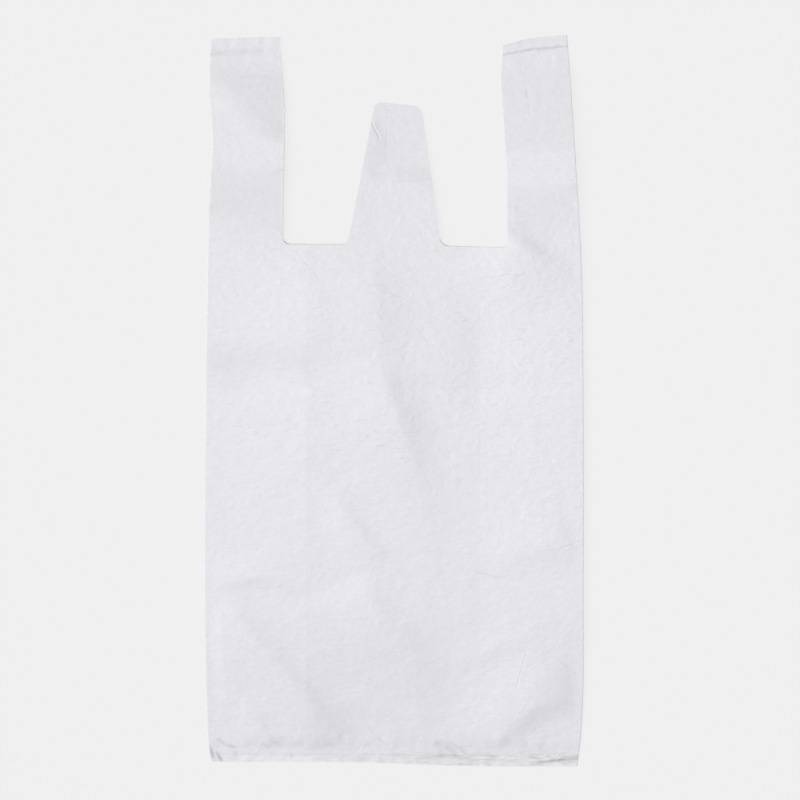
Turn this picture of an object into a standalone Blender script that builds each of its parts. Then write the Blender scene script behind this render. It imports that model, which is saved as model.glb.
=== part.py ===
"""A plastic vest carrier bag lying flat, for Blender 4.5: metres, +Z up, handles towards +Y.

The real bag is one piece. A tube of thin film has a gusset tucked into each side, so it lies
in four layers at the sides and two in the middle. It is welded across the bottom and across
the top of each handle, and one die cut through all the layers leaves the handles and the tab.
The bag rests on its back panel. A little air holds the front panel and the handles open.
"""

from collections import namedtuple

import bmesh
import bpy
import numpy as np

# Film
FILM = 0.0002  # wall of the solid, where the real film is about 0.015 mm
PLY = 0.0005  # from the middle of one loose layer to the middle of the next
PRESSED_PLY = 0.0003  # the same at a weld
FOLD_REACH = 0.00025  # how far the round edge of a fold stands out past its layers
FILM_COLOUR = (0.80, 0.79, 0.83, 1.0)
FILM_ROUGHNESS = 0.42

# Heights up the bag, on a bag whose ends are square: Y, with 0 half way up
BOTTOM = -0.2740
BOTTOM_WELD = -0.2655
BOTTOM_CALM = -0.2100  # above this the slant of the bottom edge has died out
MOUTH = 0.1160  # bottom of the die cut
TOP_CALM = 0.1650
TOP_WELD = 0.2625
TOP = 0.2730
WELD_HALF = 0.0015  # half the width of a weld

# Outer folds of the tube, as (Y, X), and the inner folds of its gussets
LEFT_EDGE = (
    (BOTTOM, -0.1368),
    (-0.2600, -0.1388),
    (-0.2250, -0.1404),
    (-0.1600, -0.1417),
    (0.0200, -0.1408),
    (0.1000, -0.1396),
    (0.1500, -0.1383),
    (0.2000, -0.1361),
    (0.2300, -0.1380),
    (TOP, -0.1378),
)
RIGHT_EDGE = (
    (BOTTOM, 0.1372),
    (-0.2600, 0.1391),
    (-0.2250, 0.1414),
    (-0.1500, 0.1418),
    (0.0000, 0.1418),
    (0.1000, 0.1404),
    (0.2000, 0.1346),
    (TOP, 0.1296),
)
LEFT_GUSSET = -0.0668
RIGHT_GUSSET = 0.0653

# Cut ends and welds as they really run, as (X, Y)
BOTTOM_EDGE_LINE = ((-0.142, -0.2705), (-0.025, -0.2712), (0.050, -0.2738), (0.142, BOTTOM))
BOTTOM_WELD_LINE = ((-0.142, -0.2640), (0.000, -0.2648), (0.142, -0.2660))
TOP_WELD_LINE = ((-0.138, 0.2620), (-0.086, 0.2625), (0.080, 0.2604), (0.131, 0.2652))
TOP_EDGE_LINE = (
    (-0.138, 0.2712),
    (-0.086, 0.2728),
    (0.080, 0.2658),
    (0.096, 0.2703),
    (0.131, 0.2742),
)

# Die cut, seen from above: corners as (X, Y, corner radius), open above the handles
CUT_TOP = 0.2900
DIE_CUT = (
    (-0.0868, CUT_TOP, 0),
    (-0.0817, 0.2180, 0.030),
    (-0.0833, 0.1177, 0.005),
    (-0.0348, 0.1174, 0.0065),
    (-0.0140, 0.2240, 0.005),
    (0.0206, 0.2206, 0.008),
    (0.0350, 0.1163, 0.0075),
    (0.0853, 0.1150, 0.0045),
    (0.0850, 0.1750, 0.030),
    (0.0801, 0.2400, 0.030),
    (0.0838, CUT_TOP, 0),
)
ARC_STEPS = 4  # straight pieces in a rounded corner
CUT_DEPTH = 0.0300

# Height that the air inside gives the front panel
LOFT = 0.0064
LOFT_FULL = 0.054  # distance from the middle line at which the panel has all of it
LOFT_SIDE = 0.138
LOFT_FOOT = 0.065  # distance above the bottom weld over which it rises
TAB_REACH = 0.108  # distance above the mouth over which the tab comes down to its tip
TAB_TIP_SHARE = 0.12  # share of the loft left at the tip
TAB_HALF = 0.038
STRAP_START = 0.080  # half the space between the handles
STRAP_FADE = (0.100, 0.155)  # the front panel's loft ends between these heights

# Arch of each handle's front strap over its back strap: heights between which it stands open
ARCH = 0.0050
ARCH_START = 0.062  # distance from the middle line past which the straps arch
ARCH_FOOT = (0.112, 0.158)
ARCH_HEAD = (0.222, 0.254)

# Folds that the front panel has taken: crest points (X, Y), height (minus is a hollow), half-width
Drape = namedtuple("Drape", "crest height half_width")
DRAPES = (
    Drape(((-0.028, 0.100), (-0.016, 0.050), (-0.012, 0.010), (0.018, -0.050)), 0.0019, 0.014),
    Drape(((0.006, 0.060), (0.014, 0.005), (0.042, -0.065), (0.034, -0.120)), -0.0012, 0.012),
    Drape(((-0.034, -0.085), (-0.012, -0.112), (0.008, -0.125)), 0.0012, 0.010),
    Drape(((-0.022, -0.150), (0.008, -0.185), (0.030, -0.222)), 0.0016, 0.013),
    Drape(((-0.108, -0.168), (-0.078, -0.205), (-0.045, -0.244)), 0.0018, 0.013),
    Drape(((0.084, -0.244), (0.112, -0.230), (0.134, -0.222)), -0.0016, 0.010),
    Drape(((-0.125, -0.138), (-0.098, -0.134), (-0.072, -0.142)), 0.0010, 0.009),
    Drape(((0.068, -0.196), (0.090, -0.182), (0.112, -0.176)), 0.0010, 0.010),
)
DRAPE_MARGIN = 0.022  # folds die out over this distance from the outer folds and the welds
FLOOR_EASE = 0.0003  # a hollow levels out within this of the layer below

# Mesh of the tube: straight pieces across each layer and up each part of the bag
FRONT_PIECES = 28
BACK_PIECES = 2
GUSSET_PIECES = 2
BODY_ROWS = 32
HANDLE_ROWS = 10
ROW_GAP = 0.0003  # rows stand this far outside a weld's edges
WELD_EASE = 0.010  # distance over which pressed layers come apart
SHARP_ANGLE = np.radians(40)


def smooth_step(value, start, end):
    """0 before start, 1 after end, and a smooth rise between."""
    share = np.clip((value - start) / (end - start), 0.0, 1.0)
    return share * share * (3.0 - 2.0 * share)


def curve_at(points, place):
    """The height, at one place, of the smooth curve through the points."""
    places, heights = np.array(points).T
    slopes = np.gradient(heights, places)
    first = int(np.clip(np.searchsorted(places, place) - 1, 0, len(places) - 2))
    span = places[first + 1] - places[first]
    share = (place - places[first]) / span
    rise = smooth_step(share, 0.0, 1.0)
    start_bend = share * (1.0 - share) ** 2 * span * slopes[first]
    end_bend = share**2 * (share - 1.0) * span * slopes[first + 1]
    return heights[first] * (1 - rise) + heights[first + 1] * rise + start_bend + end_bend


def slanted(height, x):
    """Where a point at this square height lies, once the ends and welds have their slant."""
    square = (BOTTOM, BOTTOM_WELD, BOTTOM_CALM, TOP_CALM, TOP_WELD, TOP)
    real = (
        curve_at(BOTTOM_EDGE_LINE, x),
        curve_at(BOTTOM_WELD_LINE, x),
        BOTTOM_CALM,
        TOP_CALM,
        curve_at(TOP_WELD_LINE, x),
        curve_at(TOP_EDGE_LINE, x),
    )
    return float(np.interp(height, square, real))


def ply_at(height):
    """Spacing of the layers: close together at the welds, loose elsewhere."""
    half = WELD_HALF + ROW_GAP
    from_weld = min(abs(height - BOTTOM_WELD), abs(height - TOP_WELD))
    return PRESSED_PLY + (PLY - PRESSED_PLY) * smooth_step(from_weld, half, WELD_EASE)


def arch_at(height):
    """How far a handle's front strap stands above its back strap."""
    return ARCH * smooth_step(height, *ARCH_FOOT) * (1.0 - smooth_step(height, *ARCH_HEAD))


def loft_at(x, height):
    """Rise of the front panel over the air inside, down to nothing at its folds and welds."""
    across = 1.0 - smooth_step(abs(x), LOFT_FULL, LOFT_SIDE)
    foot = smooth_step(height, BOTTOM_WELD + WELD_HALF, BOTTOM_WELD + LOFT_FOOT)
    tab = 1.0 - (1.0 - TAB_TIP_SHARE) * smooth_step(height, MOUTH, MOUTH + TAB_REACH)
    strap = 1.0 - smooth_step(height, *STRAP_FADE)
    beside = smooth_step(abs(x), TAB_HALF, STRAP_START)
    return LOFT * across * foot * (tab + (strap - tab) * beside)


def distance_to(crest, x, y):
    """Distance in plan from (x, y) to the line through the crest's points."""
    point = np.array((x, y))
    nearest = np.inf
    for start, end in zip(np.array(crest[:-1]), np.array(crest[1:])):
        along = end - start
        share = np.clip(np.dot(point - start, along) / np.dot(along, along), 0.0, 1.0)
        nearest = min(nearest, np.linalg.norm(point - start - share * along))
    return nearest


def drape_at(x, y):
    """Height of all the soft folds at one place on the front panel."""
    total = 0.0
    for drape in DRAPES:
        away = distance_to(drape.crest, x, y) / drape.half_width
        total += drape.height * np.exp(-away * away)
    side = min(x - curve_at(LEFT_EDGE, y), curve_at(RIGHT_EDGE, y) - x)
    inside = smooth_step(side, 0.0, DRAPE_MARGIN)
    above_foot = smooth_step(y, BOTTOM_WELD + WELD_HALF, BOTTOM_WELD + DRAPE_MARGIN)
    return total * inside * above_foot


def back_height(x, height):
    """Middle of the back panel's film, which lies flat."""
    return FILM / 2


def gusset_back_height(x, height):
    """Middle of the gusset layer that lies on the back panel."""
    return FILM / 2 + ply_at(height)


def gusset_front_height(x, height):
    """Middle of the gusset layer under the front panel."""
    return FILM / 2 + 2 * ply_at(height) + arch_at(height)


def front_height(x, height):
    """Middle of the front panel's film."""
    past_gusset = max(LEFT_GUSSET - x, x - RIGHT_GUSSET)
    layers = 1.0 + 2.0 * smooth_step(past_gusset, -WELD_EASE, -FOLD_REACH)
    flat = FILM / 2 + layers * ply_at(height)
    lift = arch_at(height) * smooth_step(abs(x), TAB_HALF, ARCH_START)
    rise = loft_at(x, height) + drape_at(x, slanted(height, x))
    return flat + lift + (rise + np.hypot(rise, FLOOR_EASE)) / 2


def layer(surface, height, start, end, pieces):
    """Points across one layer of the film, both ends among them."""
    return [
        (x, slanted(height, x), surface(x, height)) for x in np.linspace(start, end, pieces + 1)
    ]


def fold_tip(x, height, low, high):
    """The outermost point of the fold that joins two layers."""
    middle = (low(x, height) + high(x, height)) / 2
    return [(x, slanted(height, x), middle)]


def section(height):
    """Points all round the tube at one height, from the middle of the back panel and back to it."""
    left, right = curve_at(LEFT_EDGE, height), curve_at(RIGHT_EDGE, height)
    left_in, right_in = left + FOLD_REACH, right - FOLD_REACH
    left_deep, right_deep = LEFT_GUSSET - FOLD_REACH, RIGHT_GUSSET + FOLD_REACH
    back, low, high, front = (
        back_height,
        gusset_back_height,
        gusset_front_height,
        front_height,
    )
    return (
        layer(back, height, 0.0, left_in, BACK_PIECES)
        + fold_tip(left, height, back, low)
        + layer(low, height, left_in, left_deep, GUSSET_PIECES)
        + fold_tip(LEFT_GUSSET, height, low, high)
        + layer(high, height, left_deep, left_in, GUSSET_PIECES)
        + fold_tip(left, height, high, front)
        + layer(front, height, left_in, right_in, FRONT_PIECES)
        + fold_tip(right, height, front, high)
        + layer(high, height, right_in, right_deep, GUSSET_PIECES)
        + fold_tip(RIGHT_GUSSET, height, high, low)
        + layer(low, height, right_deep, right_in, GUSSET_PIECES)
        + fold_tip(right, height, low, back)
        + layer(back, height, right_in, 0.0, BACK_PIECES)
    )


def row_heights():
    """Heights of the tube's sections, with a row on each side of every weld."""
    half = WELD_HALF + ROW_GAP
    body = np.linspace(BOTTOM_WELD + WELD_EASE, MOUTH, BODY_ROWS)
    handles = np.linspace(MOUTH, TOP_WELD - WELD_EASE, HANDLE_ROWS)
    foot = [BOTTOM, BOTTOM_WELD - half, BOTTOM_WELD + half]
    head = [TOP_WELD - half, TOP_WELD + half, TOP]
    return [*foot, *body, *handles[1:], *head]


def surface_mesh(name, rows):
    """A mesh of rows of points, closed where its first and last columns meet."""
    columns = len(rows[0]) - 1
    grid = bmesh.new()
    bmesh.ops.create_grid(grid, x_segments=columns, y_segments=len(rows) - 1, size=0.5)
    for vert in grid.verts:
        row = rows[round((vert.co.y + 0.5) * (len(rows) - 1))]
        vert.co = row[round((vert.co.x + 0.5) * columns)]
    bmesh.ops.remove_doubles(grid, verts=grid.verts, dist=1e-6)
    mesh = bpy.data.meshes.new(name)
    grid.to_mesh(mesh)
    grid.free()
    return mesh


def make_weld(name, middle, start, end, collection):
    """A bar that fills the layers at a weld, from the back panel's middle to the front's."""
    heights = (middle - WELD_HALF, middle + WELD_HALF)
    rows = [layer(front_height, height, start, end, FRONT_PIECES) for height in heights]
    mesh = surface_mesh(name, rows)
    bar = bmesh.new()
    bar.from_mesh(mesh)
    added = bmesh.ops.extrude_face_region(bar, geom=bar.faces[:])["geom"]
    for vert in added:
        if isinstance(vert, bmesh.types.BMVert):
            vert.co.z = FILM / 2
    bmesh.ops.recalc_face_normals(bar, faces=bar.faces)
    bar.to_mesh(mesh)
    bar.free()
    return add_helper(name, mesh, collection)


def add_helper(name, mesh, collection):
    """An object that only cuts or joins, shown as wire and left out of a render."""
    helper = bpy.data.objects.new(name, mesh)
    helper.hide_render = True
    helper.display_type = "WIRE"
    collection.objects.link(helper)
    return helper


def rounded_outline(corners):
    """Points of a closed outline whose corners, given as (x, y, radius), are arcs."""
    outline = []
    for index, (x, y, radius) in enumerate(corners):
        corner = np.array((x, y))
        if not radius:
            outline.append(corner)
            continue
        before = np.array(corners[index - 1][:2]) - corner
        after = np.array(corners[(index + 1) % len(corners)][:2]) - corner
        before, after = before / np.linalg.norm(before), after / np.linalg.norm(after)
        half_angle = np.arccos(np.dot(before, after)) / 2
        reach = radius / np.tan(half_angle)
        for share in np.linspace(0.0, 1.0, ARC_STEPS + 1):
            outline.append(arc_point(corner, before, after, reach, share))
    return outline


def arc_point(corner, before, after, reach, share):
    """A point of the arc that leaves one side of a corner and meets the other."""
    middle = before + after
    if np.linalg.norm(middle) < 1e-6:
        return corner
    centre = middle * reach / np.dot(middle, before)
    start, end = before * reach - centre, after * reach - centre
    turn = np.arccos(np.dot(start, end) / np.dot(start, start))
    weights = np.sin((1 - share) * turn), np.sin(share * turn)
    return corner + centre + (start * weights[0] + end * weights[1]) / np.sin(turn)


def make_die_cutter(collection):
    """The die: a prism over the two notches and the space above the tab."""
    curve = bpy.data.curves.new("die_outline", "CURVE")
    curve.dimensions = "2D"
    curve.fill_mode = "BOTH"
    curve.extrude = CUT_DEPTH / 2
    outline = rounded_outline(DIE_CUT)
    spline = curve.splines.new("POLY")
    spline.points.add(len(outline) - 1)
    for point, (x, y) in zip(spline.points, outline):
        point.co = (x, y, 0.0, 1.0)
    spline.use_cyclic_u = True
    flat = bpy.data.objects.new("die_outline", curve)
    collection.objects.link(flat)
    graph = bpy.context.evaluated_depsgraph_get()
    mesh = bpy.data.meshes.new_from_object(flat.evaluated_get(graph))
    bpy.data.objects.remove(flat)
    solid = bmesh.new()
    solid.from_mesh(mesh)
    bmesh.ops.remove_doubles(solid, verts=solid.verts, dist=1e-6)
    bmesh.ops.recalc_face_normals(solid, faces=solid.faces)
    solid.to_mesh(mesh)
    solid.free()
    return add_helper("die_cutter", mesh, collection)


def film_material():
    """White high-density polyethylene film, faintly cool and softly glossy."""
    material = bpy.data.materials.new("carrier_film")
    material.use_nodes = True
    shader = material.node_tree.nodes["Principled BSDF"]
    shader.inputs["Base Color"].default_value = FILM_COLOUR
    shader.inputs["Roughness"].default_value = FILM_ROUGHNESS
    shader.inputs["Metallic"].default_value = 0.0
    return material


def add_boolean(target, name, operation, other):
    """An exact Boolean of target with other."""
    modifier = target.modifiers.new(name, "BOOLEAN")
    modifier.operation = operation
    modifier.solver = "EXACT"
    modifier.object = other


def make_bag(collection, helpers):
    """The whole bag: the folded tube, its wall, its welds and its die cut."""
    rows = [section(height) for height in row_heights()]
    bag = bpy.data.objects.new("carrier_bag", surface_mesh("carrier_bag", rows))
    collection.objects.link(bag)
    wall = bag.modifiers.new("film_wall", "SOLIDIFY")
    wall.thickness = FILM
    wall.offset = 0.0
    wall.use_even_offset = True
    left, right = curve_at(LEFT_EDGE, BOTTOM_WELD), curve_at(RIGHT_EDGE, BOTTOM_WELD)
    ends = {"bottom_weld": (BOTTOM_WELD, left, right)}
    left, right = curve_at(LEFT_EDGE, TOP_WELD), curve_at(RIGHT_EDGE, TOP_WELD)
    ends["handle_welds"] = (TOP_WELD, left, right)
    for name, (middle, start, end) in ends.items():
        weld = make_weld(name, middle, start + 2 * FOLD_REACH, end - 2 * FOLD_REACH, helpers)
        add_boolean(bag, name, "UNION", weld)
    add_boolean(bag, "die_cut", "DIFFERENCE", make_die_cutter(helpers))
    bag.data.materials.append(film_material())
    bag.data.shade_smooth()
    bag.data.set_sharp_from_angle(angle=SHARP_ANGLE)
    return bag


def main():
    """Clears the scene and models the bag."""
    for old in list(bpy.data.objects):
        bpy.data.objects.remove(old)
    parts = bpy.data.collections.new("plastic_carrier_bag")
    helpers = bpy.data.collections.new("cutters")
    for collection in (parts, helpers):
        bpy.context.scene.collection.children.link(collection)
    make_bag(parts, helpers)


main()
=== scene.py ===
"""Looks of a plastic vest carrier bag lying flat and seen from straight above, for Blender 4.5.

Metres, +Z up, handles towards +Y. The film is built as the real bag is: a tube with a gusset in
each side, welded at both ends and die-cut through all its layers. The front panel then takes its
soft folds, one by one, and settles over the layers below it.
"""

import logging
from dataclasses import dataclass
from enum import Enum
from functools import partial

import bmesh
import bpy
import numpy as np
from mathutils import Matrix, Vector


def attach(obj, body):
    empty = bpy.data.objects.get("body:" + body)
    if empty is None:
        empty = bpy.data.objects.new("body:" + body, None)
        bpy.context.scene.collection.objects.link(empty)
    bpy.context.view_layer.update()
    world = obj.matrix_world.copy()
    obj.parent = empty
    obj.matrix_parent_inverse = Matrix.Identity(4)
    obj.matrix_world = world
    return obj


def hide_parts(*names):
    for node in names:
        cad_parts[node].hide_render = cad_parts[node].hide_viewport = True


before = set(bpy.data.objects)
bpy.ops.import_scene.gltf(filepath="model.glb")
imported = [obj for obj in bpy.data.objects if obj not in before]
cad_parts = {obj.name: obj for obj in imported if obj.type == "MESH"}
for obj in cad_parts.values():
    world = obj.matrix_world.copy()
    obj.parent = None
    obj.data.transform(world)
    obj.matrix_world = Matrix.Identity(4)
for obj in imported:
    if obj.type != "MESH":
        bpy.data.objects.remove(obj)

LOG = logging.getLogger("carrier_bag")
MM = 0.001
# The film's attributes that the Geometry Nodes trees read.
FIELDS = ("rise", "front", "floor", "loft", "room", "weld_near")
# Round a fold's crest its steep side takes over from its gentle side between these cosines.
SIDE_TURN = 0.4
# Power of a fall that leaves the crest round.
ROUND_CREST = 2.0
# A crease fades out over this many of its half-widths.
CREASE_SPREAD = 1.7
# Finer waves in a ripple, its distortion, and what its noise of 0 to 1 is stretched to either way.
RIPPLE_DETAIL = 2.0
RIPPLE_TWIST = 0.5
RIPPLE_SPAN = 2.0

PlanPoint = tuple[float, float]
Point = tuple[float, float, float]
Tree = bpy.types.NodeTree
Socket = bpy.types.NodeSocket


def smooth_step(value: np.ndarray, start: float, end: float) -> np.ndarray:
    """A smooth rise.

    Args:
        value: where it is read.
        start: place of 0.
        end: place of 1.

    Returns:
        0 before start, 1 after end, and a smooth rise between.
    """
    share = np.clip((value - start) / (end - start), 0.0, 1.0)
    return share * share * (3.0 - 2.0 * share)


def curve_at(points: tuple[PlanPoint, ...], place: np.ndarray) -> np.ndarray:
    """A smooth curve through given points.

    Args:
        points: (place, height) in rising order of place.
        place: where it is read.

    Returns:
        Its height there.
    """
    places, heights = np.array(points).T
    slopes = np.gradient(heights, places)
    first = np.clip(np.searchsorted(places, place) - 1, 0, len(places) - 2)
    span = places[first + 1] - places[first]
    share = (place - places[first]) / span
    rise = smooth_step(share, 0.0, 1.0)
    start_bend = share * (1.0 - share) ** 2 * span * slopes[first]
    end_bend = share**2 * (share - 1.0) * span * slopes[first + 1]
    return heights[first] * (1.0 - rise) + heights[first + 1] * rise + start_bend + end_bend


def line_at(points: tuple[PlanPoint, ...], place: np.ndarray) -> np.ndarray:
    """Height of straight lines through (place, height) points, read at these places."""
    return np.interp(place, *np.array(points).T)


def linear_rgb(hex_colour: str) -> tuple[float, float, float, float]:
    """A colour as Blender's shaders take it.

    Args:
        hex_colour: sRGB colour, such as "#e5e4e9".

    Returns:
        Linear red, green and blue, and an alpha of 1.
    """
    levels = [int(hex_colour[start : start + 2], 16) / 255 for start in (1, 3, 5)]
    linear = [v / 12.92 if v <= 0.04045 else ((v + 0.055) / 1.055) ** 2.4 for v in levels]
    return (*linear, 1.0)


def add_object(name: str, shape: bpy.types.ID) -> bpy.types.Object:
    """Puts an object of this mesh, curve, lamp or camera into the scene."""
    added = bpy.data.objects.new(name, shape)
    bpy.context.scene.collection.objects.link(added)
    return added


def add_node(
    tree: Tree,
    kind: str,
    settings: dict[str, object] | None = None,
    inputs: dict[str | int, object] | None = None,
) -> bpy.types.Node:
    """Adds a node with its settings and links.

    Args:
        tree: node tree that takes it.
        kind: its type name.
        settings: values of its properties.
        inputs: for each input, by name or index, a socket that is linked to it or its value.

    Returns:
        The node.
    """
    node = tree.nodes.new(kind)
    for name, value in (settings or {}).items():
        setattr(node, name, value)
    for name, value in (inputs or {}).items():
        if isinstance(value, Socket):
            tree.links.new(value, node.inputs[name])
        else:
            node.inputs[name].default_value = value
    return node


def maths(tree: Tree, operation: str, *values: Socket | float) -> Socket:
    """Adds a Math node with these inputs in order, and gives its result."""
    return add_node(tree, "ShaderNodeMath", {"operation": operation}, dict(enumerate(values))).outputs[0]


def vector_maths(tree: Tree, operation: str, *values: Socket | Point) -> Socket:
    """Adds a Vector Math node with these inputs in order, and gives its result."""
    node = add_node(tree, "ShaderNodeVectorMath", {"operation": operation}, dict(enumerate(values)))
    return node.outputs["Value" if operation in ("DOT_PRODUCT", "LENGTH") else "Vector"]


def map_range(
    tree: Tree,
    value: Socket,
    start: Socket | float,
    end: Socket | float,
    low: Socket | float = 0.0,
    high: Socket | float = 1.0,
    way: str = "SMOOTHSTEP",
) -> Socket:
    """Adds a Map Range node.

    Args:
        tree: node tree that takes it.
        value: what it reads.
        start: value that gives low.
        end: value that gives high.
        low: result up to the start.
        high: result past the end.
        way: how the result goes from one to the other.

    Returns:
        Its result.
    """
    inputs = {"Value": value, "From Min": start, "From Max": end, "To Min": low, "To Max": high}
    return add_node(tree, "ShaderNodeMapRange", {"interpolation_type": way}, inputs).outputs["Result"]


def mix_colours(tree: Tree, share: Socket, first: object, second: object, clamped: bool = True) -> Socket:
    """Adds a mix of two colours.

    Args:
        tree: node tree that takes it.
        share: how much of the second it has.
        first: a colour or its socket.
        second: the other.
        clamped: whether the share stops at 0 and 1.

    Returns:
        The mixed colour.
    """
    settings = {"data_type": "RGBA", "clamp_factor": clamped}
    return add_node(tree, "ShaderNodeMix", settings, {"Factor": share, 6: first, 7: second}).outputs[2]


def new_tree(
    name: str, kind: str, inputs: dict[str, str], output: str
) -> tuple[Tree, bpy.types.NodeOutputs]:
    """Starts a node group.

    Args:
        name: the group's name.
        kind: its tree type.
        inputs: socket type of each named input.
        output: socket type of its output, which is called "Made".

    Returns:
        The tree and the sockets of its inputs.
    """
    tree = bpy.data.node_groups.new(name, kind)
    for in_out, sockets in (("INPUT", inputs), ("OUTPUT", {"Made": output})):
        for label, socket_type in sockets.items():
            tree.interface.new_socket(label, in_out=in_out, socket_type=f"NodeSocket{socket_type}")
    return tree, add_node(tree, "NodeGroupInput").outputs


def finish_tree(tree: Tree, given: bpy.types.NodeOutputs, geometry: Socket) -> None:
    """Ends a geometry tree with its realized instances and its material.

    Args:
        tree: the node tree.
        given: the sockets of its inputs, with the material at "Film".
        geometry: what it has made.
    """
    real = add_node(tree, "GeometryNodeRealizeInstances", {}, {"Geometry": geometry})
    look = {"Geometry": real.outputs[0], "Material": given["Film"]}
    dressed = add_node(tree, "GeometryNodeSetMaterial", {}, look)
    add_node(tree, "NodeGroupOutput", inputs={"Made": dressed.outputs[0]})


def add_tree_modifier(target: bpy.types.Object, name: str, tree: Tree, values: dict[str, object]) -> None:
    """Puts a node tree on an object.

    Args:
        target: object that takes it.
        name: the modifier's name.
        tree: its node tree.
        values: value of each named input.
    """
    modifier = target.modifiers.new(name, "NODES")
    modifier.node_group = tree
    sockets = {item.name: item.identifier for item in tree.interface.items_tree if item.in_out == "INPUT"}
    for label, value in values.items():
        modifier[sockets[label]] = value


def make_plain(source: bpy.types.Object, name: str) -> bpy.types.Object:
    """A plain mesh object from an object with modifiers, which is removed.

    Args:
        source: object with its modifiers.
        name: name of the new object.

    Returns:
        The new object, at the origin.
    """
    graph = bpy.context.evaluated_depsgraph_get()
    mesh = bpy.data.meshes.new_from_object(source.evaluated_get(graph), depsgraph=graph)
    bpy.data.objects.remove(source)
    mesh.name = name
    return add_object(name, mesh)


class Layer(Enum):
    """The film's layers at a side of the bag, from the table up."""

    BACK = 0
    GUSSET_BACK = 1
    GUSSET_FRONT = 2
    FRONT = 3


class Facing(Enum):
    """The way in plan that a fold's steep side faces."""

    RIGHT = (1.0, 0.0, 0.0)
    LEFT = (-1.0, 0.0, 0.0)
    UP = (0.0, 1.0, 0.0)
    DOWN = (0.0, -1.0, 0.0)
    UP_RIGHT = (0.71, 0.71, 0.0)
    DOWN_RIGHT = (0.50, -0.87, 0.0)


@dataclass(frozen=True)
class SoftFold:
    """A soft fold or crease that the front panel has taken, in millimetres.

    Attributes:
        name: what it is.
        crest: points (X, Y, height) of its crest; a height below zero is a hollow.
        facing: the way its steep side faces.
        steep: half-width of its steep side.
        gentle: half-width of its other side.
    """

    name: str
    crest: tuple[Point, ...]
    facing: Facing
    steep: float
    gentle: float


@dataclass(frozen=True)
class SharpCrease:
    """A crease or weld too sharp for the mesh, pressed in by the material and darkened in its colour, in
    millimetres.

    Attributes:
        start: one end, (X, Y).
        end: the other end.
        half_width: half its width.
        depth: its depth; below zero it is a ridge.
        clear: how much darker the film's colour is painted there, from 0 to 1: painted shade in creases,
            beside folds and on the drooping bottom skirt, and a darker line along the welds.
    """

    start: PlanPoint
    end: PlanPoint
    half_width: float
    depth: float
    clear: float = 0.0


@dataclass(frozen=True)
class Ripple:
    """Uneven waves over the film.

    Attributes:
        name: what they are; also the start of the tree's input names.
        height: from their middle to their top.
        lengths: their lengths along X and Y.
        seed: place of their noise along its fourth axis.
        mask: attribute of the film that scales them.
    """

    name: str
    height: float
    lengths: PlanPoint
    seed: float
    mask: str


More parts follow.
